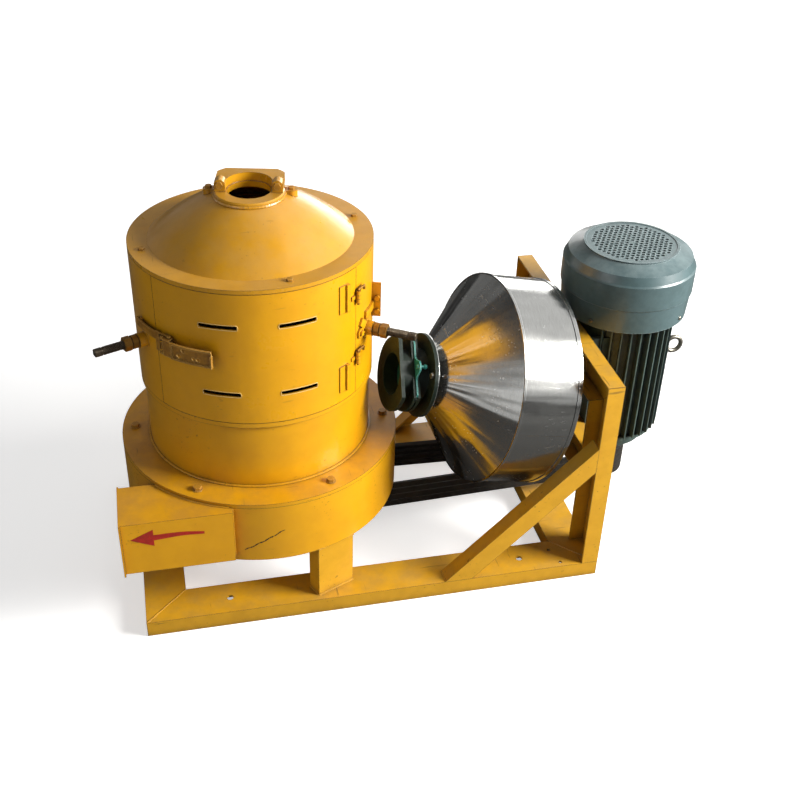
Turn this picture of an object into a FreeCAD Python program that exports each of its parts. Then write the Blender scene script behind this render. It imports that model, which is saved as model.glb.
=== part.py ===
import FreeCAD, Part
import math
import os

# Vertical emery-roller rice huller on a welded channel base, driven by V-belts from a motor.
# Millimetres. X runs along the base towards the motor, Y towards the back, Z up.
# The origin is at floor level, under the middle of the whole machine.

V = FreeCAD.Vector
UP = V(0, 0, 1)

# ---- Rolled channel that the whole base is welded from
channelWeb = 100.0
channelFlange = 42.0
channelWall = 5.0

# ---- Base frame
baseLength = 1143.0
baseDepth = 690.0
frameTop = 580.0
braceReach = 364.0
braceFace = 50.0
braceWall = 5.0
motorBarTop = 345.0
footHoleRadius = 8.0
footHoleSpacing = 743.0
footHoleShift = -135.5
spareHoleRadius = 4.0
machineShift = 711.0        # from the base's left end to the origin

# ---- Upright machine: one axis for everything that is round
drumFromLeft = 328.0
drumRadius = 342.0
drumFloor = 190.0
drumWall = 4.0
floorPlate = 6.0
coverTop = 356.0
coverPlate = 10.0
coverBoltCircle = drumRadius - 32.0
coverBoltCount = 6
coverBoltStart = 25.0
casingRadius = drumRadius - 70.0
casingWall = 4.0
deckBottom = 527.0
deckTop = deckBottom + 12.0
deckWindows = 4
windowHalf = 35.0           # degrees
legSpread = 66.0            # front and rear legs, degrees from the +X direction
legInset = 4.0
leftLegInset = 18.0

# ---- Milling chamber
chamberRadius = casingRadius + 7.0
chamberWall = 3.5
adjusterLift = 147.0        # the two radial adjusters above the deck; the chamber is laid out from them
adjusterHeight = deckTop + adjusterLift
chamberTop = adjusterHeight + 180.0
chamberTurn = -4.5          # the door's middle, degrees from the front
doorHalf = 52.3             # half of the door's opening, degrees
postOuter = 74.0            # far edge of the two side posts, degrees
postDepth = 22.0
doorGap = 0.8
slotLong = 86.0
slotTall = 10.0
slotAngle = 18.0            # the slots' middle, degrees each side of the door's middle
slotLow = adjusterHeight - 71.0
slotHigh = adjusterHeight + 99.0
earReach = 21.0             # bolting ear that stands out at the rear cover's edge
earThick = 5.0
earLow = adjusterHeight - 1.0
earTall = 88.0
earBolts = (14.0, 49.0)

# ---- Lid
lidRing = 10.0
lidConeRadius = chamberRadius - 49.0
lidSheet = 4.0
inletRadius = 48.7
collarRadius = 79.0
collarTop = chamberTop + 114.0
collarThick = 14.0
seatTop = collarTop + 28.0
seatTurn = -12.0            # the seat's open side, degrees from the front
seatInner = 52.0
seatEar = 24.0
seatFront = 14.0            # from the inlet's middle forward to the ears' faces
seatBack = 74.0
seatShoulder = 93.0         # the two holding-down lugs, from the inlet's middle
seatLift = 0.3              # the lugs' clearance above the cone
lidBoltCircle = chamberRadius - 27.0
lidBoltAngles = (12.0, 101.0, 192.0, 281.0)

# ---- Rotor
shaftRadius = 27.5
screenRadius = chamberRadius - 67.0
rollerRadius = screenRadius - 22.0
rollerCount = 3
rollerGap = 6.0
rollerBore = 60.0
screenSheet = 2.0
bearingOuter = 60.0
bearingTall = 31.0
bearingTop = deckBottom - 57.0
bladeThick = 6.0
bladeTurn = 20.0
runGap = 0.05               # running fit, radial

# ---- Belt drive
beltCount = 4
beltPitch = 19.0
beltWide = 17.0
beltNarrow = 10.0
beltThick = 11.0
beltProud = 1.0
beltMiddle = 133.0
drivenRadius = 100.0
driverRadius = 62.0
beltGap = 0.4
pulleyRim = 16.0

# ---- Motor, standing upright on the end frame
motorOffset = 128.0
motorCore = 114.0
motorFinRadius = 135.0
shieldRadius = 125.0
motorFins = 34
motorFinThick = 3.6
statorBore = 74.0
airGap = 0.6
motorBottom = 263.0
motorTop = 610.0
bellBottom = motorBottom - 59.0
bellRadius = 101.0
motorShaftRadius = 21.0
fanCoverRadius = 163.0
fanCoverBottom = motorTop - 7.0
fanCoverTop = fanCoverBottom + 173.0
fanCoverSheet = 3.0
grilleRadius = 115.0
grilleHole = 4.6
grillePitch = 13.5
footSpanY = 254.0
footEdge = 30.0             # from a foot bolt to the end of the foot
footPlate = 16.0
eyeInner = 15.0
eyeWire = 6.0
eyeHeight = motorBottom + 199.0
terminalBottom = motorBottom + 167.0
terminalTall = 130.0
terminalWide = 110.0

# ---- Discharge chute
chuteMouth = -34.0          # from the base's left end
chuteEnd = 222.0
chuteDepth = 140.0
chuteTall = 143.0
chuteSheet = 4.0
chuteLip = 5.0
chuteProud = 1.0

# ---- Radial adjusters and the bars that they push
adjusterAngle = 63.0
bossRadius = 17.0
bossLong = 20.0
rodRadius = 10.0
rodTip = chamberRadius + 123.0
barWide = 30.0
barTall = 250.0
barNose = rollerRadius + 7.0
barBack = screenRadius + 28.0

# ---- Toggle latch on the door's left edge
latchHeight = adjusterHeight + 29.0
latchPivotAngle = -45.0
latchPivotRadius = chamberRadius + 15.0
latchLinkRadius = chamberRadius + 9.5
latchThrow = 17.0
leverLong = 129.0
leverHalf = 20.0
leverStart = 9.0            # the lever's plate starts this far past its pivot, clear of the ears
leverTaper = 5.0            # degrees
linkReach = 110.0
linkRise = 12.0
keeperGap = 7.0
hingeHeights = (adjusterHeight - 51.0, adjusterHeight + 107.0)
hingeTall = 30.0
hingeRadius = 5.5
hingePin = 3.0
hingeStand = 6.5            # the hinge axis stands this far outside the chamber's wall
hookLong = 24.0
plateHeights = (adjusterHeight - 86.0, adjusterHeight + 119.0)
plateTall = 68.0
plateEdges = (39.9, 43.8, 45.7)     # degrees past the door's middle: plate, then its raised bar
strapWide = 19.0
strapThick = 5.0
strapRadius = 13.0

# ---- Feed hopper, taken off and laid on its side
hopperRadius = 261.0
hopperBand = 154.0
hopperConeLong = 148.0
hopperSheet = 1.5
hopperBack = 279.0          # from the base's right end back to the hopper's middle
hopperPlace = (baseLength - machineShift - hopperBack, -70.0, 465.0)
hopperTurn = 5.6            # degrees from +X towards +Y
hopperDip = 12.8            # degrees that the mouth points below level
neckFlange = 104.0
neckFarFlange = 92.0
neckBore = 52.0
neckLong = 80.0
neckWall = 8.0
neckFlat = 57.0             # the far flange is cut flat this far out, where the gate comes through
neckScrewCount = 3
neckScrewCircle = 92.0
neckScrewStart = 150.0
flangeThick = 9.0
gateThick = 5.0
gateTurn = -45.0            # the gate slides out forward and up, degrees about the neck
gateLobe = 87.0             # how far out the gate's finger lobe reaches
gateHalf = 70.0

# ---- What follows from them
leftEnd = -machineShift
rightEnd = leftEnd + baseLength
frontY = -baseDepth / 2
drumX = leftEnd + drumFromLeft
postInner = rightEnd - channelFlange
motorX = rightEnd + motorOffset
chuteTop = coverTop - coverPlate
drivenBottom = beltMiddle - beltCount * beltPitch / 2 - 3.0
drivenTop = beltMiddle + beltCount * beltPitch / 2 + 3.0
axisPoint = V(drumX, 0, 0)
motorPoint = V(motorX, 0, 0)
nodes = {}


def add(name, shape):
    """Keep a finished sub-part under its name."""
    shape = shape.removeSplitter()
    if not shape.isValid():
        print("NOT VALID", name)
    nodes[name] = shape


def weld(name, pieces):
    """Join pieces to a sub-part that carries them."""
    add(name, nodes[name].multiFuse(pieces))


def box(x0, x1, y0, y1, z0, z1):
    """A block between two corners."""
    return Part.makeBox(x1 - x0, y1 - y0, z1 - z0, V(x0, y0, z0))


def rod(radius, z0, z1, centre=V(0, 0, 0)):
    """An upright cylinder about a point."""
    return Part.makeCylinder(radius, z1 - z0, V(centre.x, centre.y, z0), UP)


def tube(outer, inner, z0, z1, centre=V(0, 0, 0)):
    """An upright tube about a point."""
    return rod(outer, z0, z1, centre).cut(rod(inner, z0 - 1, z1 + 1, centre))


def turned(points, centre=V(0, 0, 0), degrees=360.0):
    """Turn a closed (radius, height) outline about an upright axis.

    A point may carry a third and fourth number: the middle of the arc that ends there.
    """
    edges = []
    for i, point in enumerate(points):
        last = points[i - 1]
        start = V(last[0], 0, last[1])
        end = V(point[0], 0, point[1])
        if len(point) == 4:
            edges.append(Part.Arc(start, V(point[2], 0, point[3]), end).toShape())
        else:
            edges.append(Part.LineSegment(start, end).toShape())
    face = Part.Face(Part.Wire(Part.__sortEdges__(edges)))
    solid = face.revolve(V(0, 0, 0), UP, degrees)
    solid.translate(centre)
    return solid


def around(angle, radius, z=0.0):
    """A point about the drum's axis; 0 degrees is the front, positive towards the motor."""
    a = math.radians(angle)
    return V(drumX + radius * math.sin(a), -radius * math.cos(a), z)


def along(angle):
    """The level direction along the wall at an angle, towards greater angles."""
    a = math.radians(angle)
    return V(math.cos(a), math.sin(a), 0)


def sector(outer, inner, z0, z1, a0, a1):
    """A piece of tube about the drum's axis, from one angle to another."""
    outline = [(inner, z0), (outer, z0), (outer, z1), (inner, z1)]
    solid = turned(outline, V(0, 0, 0), a1 - a0)
    solid.rotate(V(0, 0, 0), UP, a0 - 90.0)
    solid.translate(axisPoint)
    return solid


def radialBlock(angle, r0, r1, wide, z0, z1):
    """A block that points out from the drum's axis at an angle."""
    block = box(r0, r1, -wide / 2, wide / 2, z0, z1)
    block.rotate(V(0, 0, 0), UP, angle - 90.0)
    block.translate(axisPoint)
    return block


def radialRod(angle, z, radius, r0, r1):
    """A cylinder that points out from the drum's axis at an angle."""
    direction = around(angle, 1.0) - axisPoint
    return Part.makeCylinder(radius, r1 - r0, around(angle, r0, z), direction)


def hexagon(across, tall, base, direction):
    """A hexagonal nut or bolt head standing on a point."""
    corner = across / math.sqrt(3)
    points = [V(corner * math.cos(math.pi * k / 3), corner * math.sin(math.pi * k / 3), 0)
              for k in range(7)]
    solid = Part.Face(Part.makePolygon(points)).extrude(V(0, 0, tall))
    solid.Placement = FreeCAD.Placement(base, FreeCAD.Rotation(UP, direction))
    return solid


def channelSection():
    """The channel's section in YZ: web on top, flanges down, outside corner at the origin."""
    outline = [(0, 0), (0, -channelFlange), (channelWall, -channelFlange), (channelWall, -channelWall),
               (channelWeb - channelWall, -channelWall), (channelWeb - channelWall, -channelFlange),
               (channelWeb, -channelFlange), (channelWeb, 0), (0, 0)]
    return Part.Face(Part.makePolygon([V(0, y, z) for y, z in outline]))


def channel(length):
    """A length of channel along +X, web up."""
    return channelSection().extrude(V(length, 0, 0))


def plan(points, z0, z1):
    """A prism over a plan outline, used to trim members."""
    face = Part.Face(Part.makePolygon([V(x, y, z0) for x, y in points + points[:1]]))
    return face.extrude(V(0, 0, z1 - z0))


def holesUp(shape, places, radius):
    """Drill upright holes through a shape."""
    for x, y in places:
        shape = shape.cut(rod(radius, -1, frameTop, V(x, y, 0)))
    return shape


# ---- Base frame

def buildRails():
    """Four channels laid web up, mitred at the corners, with the foundation bolt holes."""
    top = channelFlange
    w = channelWeb
    holeX = [footHoleShift - footHoleSpacing / 2, footHoleShift + footHoleSpacing / 2]
    spareX = rightEnd - w
    front = channel(baseLength)
    front.translate(V(leftEnd, frontY, top))
    front = front.common(plan([(leftEnd, frontY), (rightEnd, frontY), (rightEnd - w, frontY + w),
                               (leftEnd + w, frontY + w)], 0, top))
    front = holesUp(front, [(x, frontY + w / 2) for x in holeX], footHoleRadius)
    front = holesUp(front, [(spareX - 10, frontY + 66), (spareX + 5, frontY + 16)], spareHoleRadius)
    add("front_rail", front)
    rear = front.mirror(V(0, 0, 0), V(0, 1, 0))
    add("rear_rail", rear)
    side = channel(baseDepth)
    side.rotate(V(0, 0, 0), UP, 90)
    left = side.copy()
    left.translate(V(leftEnd + w, frontY, top))
    left = left.common(plan([(leftEnd, frontY), (leftEnd + w, frontY + w),
                             (leftEnd + w, -frontY - w), (leftEnd, -frontY)], 0, top))
    add("left_rail", left)
    right = side.copy()
    right.translate(V(rightEnd, frontY, top))
    right = right.common(plan([(rightEnd, frontY), (rightEnd, -frontY),
                               (rightEnd - w, -frontY - w), (rightEnd - w, frontY + w)], 0, top))
    add("right_rail", right)


def standing(length):
    """A channel standing on end: web towards +X, flanges towards -X, along +Z."""
    post = channel(length)
    post.rotate(V(0, 0, 0), V(0, 1, 0), -90)
    post.rotate(V(0, 0, 0), UP, 180)
    post.translate(V(0, channelWeb, 0))
    return post


def motorHoles():
    """Places of the motor's four foot bolts, as (y, z)."""
    rows = (motorBarTop - channelWeb / 2, frameTop - channelWeb / 2)
    return [(y, z) for y in (-footSpanY / 2, footSpanY / 2) for z in rows]


def drillWeb(shape):
    """Drill the motor's bolt holes through the end frame's webs."""
    for y, z in motorHoles():
        hole = Part.makeCylinder(7.0, channelFlange, V(rightEnd - channelFlange + 10, y, z), V(1, 0, 0))
        shape = shape.cut(hole)
    return shape


def buildEndFrame():
    """Two posts, a mitred top bar, the motor's lower bar and two diagonal braces."""
    w = channelWeb
    rise = frameTop - channelFlange
    front = standing(rise)
    front.translate(V(rightEnd, frontY, channelFlange))
    corner = Part.Face(Part.makePolygon([V(postInner - 1, frontY, frameTop), V(postInner - 1, frontY - 1, frameTop + 1),
                                         V(postInner - 1, frontY + w, frameTop + 1),
                                         V(postInner - 1, frontY + w, frameTop - w),
                                         V(postInner - 1, frontY, frameTop)]))
    front = front.cut(corner.extrude(V(channelFlange + 2, 0, 0)))
    add("front_post", front)
    add("rear_post", front.mirror(V(0, 0, 0), V(0, 1, 0)))
    bar = channel(baseDepth)
    bar.rotate(V(0, 0, 0), V(1, 1, 1), 120)
    top = bar.copy()
    top.translate(V(rightEnd, frontY, frameTop - w))
    outline = [(frontY, frameTop), (frontY + w, frameTop - w), (-frontY - w, frameTop - w), (-frontY, frameTop),
               (frontY, frameTop)]
    trim = Part.Face(Part.makePolygon([V(postInner - 1, y, z) for y, z in outline]))
    top = top.common(trim.extrude(V(channelFlange + 2, 0, 0)))
    add("top_bar", drillWeb(top))
    lower = bar.copy()
    lower.translate(V(rightEnd, frontY, motorBarTop - w))
    lower = lower.common(box(postInner, rightEnd, frontY + w, -frontY - w, motorBarTop - w, motorBarTop))
    add("motor_bar", drillWeb(lower))
    brace = box(-w, 2 * braceReach, 0, channelFlange, -braceFace, 0)
    brace = brace.cut(box(-w, 2 * braceReach, braceWall, channelFlange, -braceFace, -braceWall))
    brace.rotate(V(0, 0, 0), V(0, 1, 0), -45)
    brace.translate(V(postInner - braceReach, frontY, channelFlange))
    brace = brace.common(box(postInner - 2 * braceReach, postInner, frontY, frontY + w, channelFlange, frameTop))
    add("diagonal_braces", Part.makeCompound([brace, brace.mirror(V(0, 0, 0), V(0, 1, 0))]))


def buildLegs():
    """Three short channel legs between the rails and the drum's floor, webs outwards."""
    legs = []
    spots = ((90 - legSpread, legInset), (90 + legSpread, legInset), (270.0, leftLegInset))
    for angle, inset in spots:
        leg = standing(drumFloor - channelFlange)
        leg.translate(V(drumRadius - inset, -channelWeb / 2, channelFlange))
        leg.rotate(V(0, 0, 0), UP, angle - 90)
        leg.translate(axisPoint)
        legs.append(leg)
    add("drum_legs", Part.makeCompound(legs))


# ---- Lower drum and chute

def chuteBox(grow, x0, x1):
    """The chute's block, grown or shrunk on its four long sides."""
    front = frontY + (baseDepth / 2 - drumRadius) - chuteProud
    return box(x0, x1, front - grow, front + chuteDepth + grow, chuteTop - chuteTall - grow, chuteTop + grow)


def buildDrum():
    """Lower drum: rolled wall with the outlet cut in it, floor plate with the shaft's hole."""
    wall = tube(drumRadius, drumRadius - drumWall, drumFloor, chuteTop, axisPoint)
    floor = tube(drumRadius - drumWall, bearingOuter + 12, drumFloor, drumFloor + floorPlate, axisPoint)
    outlet = chuteBox(-chuteSheet, leftEnd + chuteMouth, leftEnd + chuteEnd - chuteSheet)
    add("lower_drum", wall.fuse(floor).cut(outlet))
    mouth = leftEnd + chuteMouth
    end = leftEnd + chuteEnd
    shell = chuteBox(0, mouth, end)
    lip = chuteBox(chuteLip, mouth, mouth + chuteSheet)
    lip = lip.common(box(mouth, end, frontY - 50, 0, 0, chuteTop))
    chute = shell.fuse(lip).cut(chuteBox(-chuteSheet, mouth - 1, end - chuteSheet))
    chute = chute.cut(rod(drumRadius, drumFloor, chuteTop + 1, axisPoint))
    add("discharge_chute", chute)


def buildDrumCover():
    """Annular cover plate of the lower drum and the bolts round its edge."""
    plate = tube(drumRadius, casingRadius - 20, chuteTop, coverTop, axisPoint)
    bolts = []
    for k in range(coverBoltCount):
        spot = around(coverBoltStart + 360.0 / coverBoltCount * k, coverBoltCircle, 0)
        plate = plate.cut(rod(5.2, chuteTop - 1, coverTop + 1, spot))
        head = hexagon(17.0, 7.5, V(spot.x, spot.y, coverTop + 2), UP)
        washer = rod(12.0, coverTop, coverTop + 2, spot)
        bolts.append(head.fuse(washer).fuse(rod(5.0, chuteTop - 12, coverTop + 1, spot)))
    add("drum_cover", plate)
    add("cover_bolts", Part.makeCompound(bolts))


def buildCasing():
    """Plain cylinder under the chamber and the deck ring that carries the chamber."""
    add("base_casing", tube(casingRadius, casingRadius - casingWall, coverTop, deckBottom, axisPoint))
    deck = tube(chamberRadius, rollerRadius - 20, deckBottom, deckTop, axisPoint)
    for k in range(deckWindows):
        middle = 360.0 / deckWindows * (k + 0.5)
        for outer, inner in ((chamberRadius - 18, screenRadius + 8), (screenRadius - 4, rollerRadius - 4)):
            deck = deck.cut(sector(outer, inner, deckBottom - 1, deckTop + 1, middle - windowHalf, middle + windowHalf))
    add("deck_ring", deck)


# ---- Milling chamber

def slotsThrough(shape, angles):
    """Cut the louvre slots: long, round-ended, two rows."""
    for angle in angles:
        for z in (slotLow, slotHigh):
            flat = (slotLong - slotTall) / 2
            cut = radialBlock(angle, screenRadius + 20, chamberRadius + 20, 2 * flat, z - slotTall / 2,
                              z + slotTall / 2)
            for side in (-flat, flat):
                turn = math.degrees(side / chamberRadius)
                cut = cut.fuse(radialRod(angle + turn, z, slotTall / 2, screenRadius + 20, chamberRadius + 20))
            shape = shape.cut(cut)
    return shape


def buildChamber():
    """Two side posts with windows for the bars, a fixed rear cover and the hinged door."""
    gapAngle = math.degrees(doorGap / chamberRadius)
    inner = chamberRadius - chamberWall
    for name, side in (("left_post", -1), ("right_post", 1)):
        a0, a1 = sorted((chamberTurn + side * doorHalf, chamberTurn + side * postOuter))
        post = sector(chamberRadius, chamberRadius - postDepth, deckTop, chamberTop, a0, a1)
        middle = chamberTurn + side * adjusterAngle
        window = radialBlock(middle, barNose, chamberRadius - 8, barWide + 1, adjusterHeight - barTall / 2 - 10,
                             adjusterHeight + barTall / 2 + 10)
        post = post.cut(window)
        post = post.fuse(radialRod(middle, adjusterHeight, bossRadius, chamberRadius - 6, chamberRadius + bossLong))
        post = post.cut(radialRod(middle, adjusterHeight, rodRadius + runGap, barNose, rodTip))
        add(name, post)
    rear = sector(chamberRadius, inner, deckTop, chamberTop, chamberTurn + postOuter, chamberTurn + 360 - postOuter)
    rear = slotsThrough(rear, [chamberTurn + a for a in (108, 144, 216, 252)])
    angle = chamberTurn + postOuter + 1.2
    rear = rear.fuse(radialBlock(angle, inner + 0.5, chamberRadius + earReach, earThick, earLow, earLow + earTall))
    towardsDoor = along(angle) * -1
    for rise in earBolts:
        spot = around(angle, chamberRadius + earReach - 8, earLow + rise) + towardsDoor * (earThick / 2 - 0.5)
        rear = rear.fuse(hexagon(13, 6, spot, towardsDoor))
    add("rear_cover", rear)
    door = sector(chamberRadius, inner, deckTop + doorGap, chamberTop - doorGap, chamberTurn - doorHalf + gapAngle,
                  chamberTurn + doorHalf - gapAngle)
    door = slotsThrough(door, (chamberTurn - slotAngle, chamberTurn + slotAngle))
    add("front_door", door)


def buildHinges():
    """Two slim hinges at the door's right edge with hooked pins, and the two plates beside them."""
    axis = chamberTurn + doorHalf
    centre = around(axis, chamberRadius + hingeStand)
    pins = []
    third = hingeTall / 3
    reach = chamberRadius + 2.5
    for z in hingeHeights:
        low = z - hingeTall / 2
        clear = rod(hingePin + 1, low, low + hingeTall, centre)
        knuckle = tube(hingeRadius, hingePin + runGap, low + third + 0.3, low + 2 * third - 0.3, centre)
        arm = sector(reach, chamberRadius, low + third + 0.3, low + 2 * third - 0.3, axis - 4, axis - 0.6)
        weld("front_door", [arm.cut(clear), knuckle])
        for start in (low, low + 2 * third):
            knuckle = tube(hingeRadius, hingePin + runGap, start, start + third, centre)
            arm = sector(reach, chamberRadius, start, start + third, axis + 0.4, axis + 4)
            weld("right_post", [arm.cut(clear), knuckle])
        top = low + hingeTall + hingePin
        bend = centre + V(0, 0, top)
        end = bend + along(axis) * hookLong
        pin = rod(hingePin, low - 4, top, centre).fuse(Part.makeSphere(hingePin, bend))
        pin = pin.fuse(Part.makeCylinder(hingePin, hookLong, bend, along(axis)))
        pin = pin.fuse(Part.makeSphere(hingePin, end)).fuse(Part.makeCylinder(hingePin, 9, end, UP * -1))
        pins.append(pin)
    add("hinge_pins", Part.makeCompound(pins))
    start, step, stop = [chamberTurn + edge for edge in plateEdges]
    for z in plateHeights:
        low = z - plateTall / 2
        top = z + plateTall / 2
        plate = sector(chamberRadius + 2.5, chamberRadius, low, top, start, step + 0.3)
        weld("front_door", [plate, sector(chamberRadius + 7, chamberRadius, low, top, step, stop)])


def buildStrap():
    """A cranked strap on the right post: bolted eye beside the door's edge, bar up to the rear ear."""
    a0 = chamberTurn + doorHalf + 3.7
    knee = chamberTurn + adjusterAngle
    a1 = chamberTurn + postOuter
    z0 = adjusterHeight + 4.0
    kneeZ = adjusterHeight + 32.0
    z1 = adjusterHeight + 37.0
    outer = chamberRadius + strapThick
    shell = sector(outer, chamberRadius - 1, z0 - 40, z1 + 40, a0 - 3.4, a1)
    bars = []
    for start, low, stop, high in ((a0, z0, knee, kneeZ), (knee - 2, kneeZ, a1 + 3, z1)):
        middle = (start + stop) / 2
        run = math.radians(stop - start) * chamberRadius
        tilt = math.degrees(math.atan2(high - low, run))
        height = (low + high) / 2
        bar = radialBlock(middle, chamberRadius - 40, chamberRadius + 40, math.hypot(run, high - low),
                          height - strapWide / 2, height + strapWide / 2)
        bar.rotate(around(middle, 0, height), around(middle, 1.0) - axisPoint, -tilt)
        drill = radialRod(knee, adjusterHeight, rodRadius + 1, chamberRadius - 30, rodTip)
        bars.append(bar.common(shell).cut(drill))
    end = radialRod(a0, z0, strapRadius, chamberRadius - 30, chamberRadius + 30).common(shell)
    outward = around(a0, 1) - axisPoint
    bolt = hexagon(13, 5, around(a0, outer - 0.5, z0), outward)
    weld("right_post", [*bars, end, bolt])


def latchPoint(radius, along):
    """A point near the latch, a distance along the wall from its pivot (+ towards the door)."""
    return around(chamberTurn + latchPivotAngle + math.degrees(along / latchPivotRadius), radius)


def buildLatch():
    """Toggle latch: base with two ears, cast lever, forked link with a hook, keeper on the post."""
    z = latchHeight
    pivot = latchPoint(latchPivotRadius, 0)
    linkPin = latchPoint(latchLinkRadius, latchThrow)
    a = chamberTurn + latchPivotAngle
    degree = math.degrees(1 / latchPivotRadius)
    wall = chamberRadius
    base = sector(wall + 3, wall, z - 13, z + 13, a - 9 * degree, a + 30 * degree)
    for side in (-1, 1):
        low = z + side * 10.5 - 1.5
        ear = radialBlock(a, wall + 2, latchPivotRadius, 14, low, low + 3)
        base = base.fuse(ear).fuse(rod(4.5, low, low + 3, pivot))
    weld("front_door", [base.cut(rod(3 + runGap, z - 20, z + 20, pivot))])
    half = leverHalf
    end = a + leverLong * degree
    plates = []
    for side in (-1, 1):
        low = z + side * (half - 0.75) - 0.75
        plates.append(sector(wall + 21, wall + 5.5, low, low + 1.5, a - 6 * degree, a + (latchThrow + 8) * degree))
        low = z + side * (half - 2) - 2
        plates.append(sector(wall + 25, wall + 22, low, low + 4, a + 34 * degree, end))
    plates.append(sector(wall + 22.5, wall + 20, z - half, z + half, a + leverStart * degree, end))
    plates.append(sector(wall + 25, wall + 22, z - half, z + half, a + 32 * degree, a + 37 * degree))
    lever = plates[0].multiFuse(plates[1:])
    outward = latchPoint(1.0, 34) - axisPoint
    turnPoint = latchPoint(wall + 22, 34) + V(0, 0, z + half)
    wedge = Part.makeBox(2 * leverLong, 80, 40, V(0, -40, 0))
    wedge.Placement = FreeCAD.Placement(turnPoint, FreeCAD.Rotation(along(a + 34 * degree), outward, UP, "ZXY"))
    wedge.rotate(turnPoint, outward, leverTaper)
    lever = lever.cut(wedge)
    for run, up, radius in ((63.0, 8.0, 5.0), (52.0, -8.0, 6.0), (88.0, -6.0, 4.5), (98.0, -6.0, 4.5)):
        lever = lever.cut(radialRod(a + run * degree, z + up, radius, wall + 10, wall + 40))
    lever = lever.fuse(radialBlock(end, wall + 20, wall + 29, 3, z - half, z + half - 10))
    lever = lever.fuse(rod(3, z - half - 1.5, z + half + 1.5, pivot))
    lever = lever.cut(rod(2.5 + runGap, z - 30, z + 30, linkPin))
    add("latch_lever", lever)
    link = rod(2.5, z - half - 5, z + half + 5, linkPin)
    for side in (-1, 1):
        low = z + side * (half + 3.2) - 1.2
        link = link.fuse(rod(4.5, low, low + 2.4, linkPin))
        link = link.fuse(sector(wall + 11, wall + 8, low, low + 2.4, a - 24 * degree, a + latchThrow * degree))
    link = link.fuse(sector(wall + 11, wall + 8, z - half - 4.4, z + half + 4.4, a - 26 * degree, a - 14 * degree))
    hook = a - linkReach * degree
    low = z + linkRise - 10
    high = z + linkRise + 10
    link = link.fuse(sector(wall + 11, wall + 8, low, high, hook, a - 20 * degree))
    link = link.fuse(sector(wall + 11, wall + 3, low, high, hook, hook + 3.5 * degree))
    add("latch_link", link)
    weld("left_post", [sector(wall + 6, wall, low + 2, high - 2, hook + keeperGap * degree, hook + 15 * degree)])


def buildAdjusters():
    """Each side: resistance bar with its pusher, threaded rod with a square end, two lock nuts."""
    lockNuts = []
    for name, side in (("left", -1), ("right", 1)):
        angle = chamberTurn + side * adjusterAngle
        z = adjusterHeight
        bar = radialBlock(angle, barNose, barBack, barWide, z - barTall / 2, z + barTall / 2)
        back = radialBlock(angle, barBack, barBack + 6, barWide, z - 40, z + 40)
        bar = bar.fuse(back).fuse(radialRod(angle, z, 14, barBack + 6, barBack + 14))
        bar = bar.cut(radialRod(angle, z, rodRadius - 3 + runGap, barBack - 4, barBack + 20))
        add(name + "_resistance_bar", bar)
        stem = radialRod(angle, z, rodRadius, barBack + 15, rodTip - 16)
        stem = stem.fuse(radialRod(angle, z, rodRadius - 3, barBack - 3, barBack + 16))
        stem = stem.fuse(radialBlock(angle, rodTip - 17, rodTip, 2 * rodRadius * 0.8, z - 8, z + 8))
        add(name + "_adjuster_rod", stem)
        outward = around(angle, 1.0) - axisPoint
        r = chamberRadius + bossLong
        ring = radialRod(angle, z, bossRadius - 1, r + 3, r + 15)
        nut = hexagon(30, 16, around(angle, r + 18, z), outward)
        seal = radialRod(angle, z, bossRadius - 4, r, r + 18)
        lockNuts.append(ring.fuse(nut).fuse(seal).cut(radialRod(angle, z, rodRadius + runGap, r - 5, rodTip)))
    add("adjuster_lock_nuts", Part.makeCompound(lockNuts))


# ---- Lid

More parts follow.
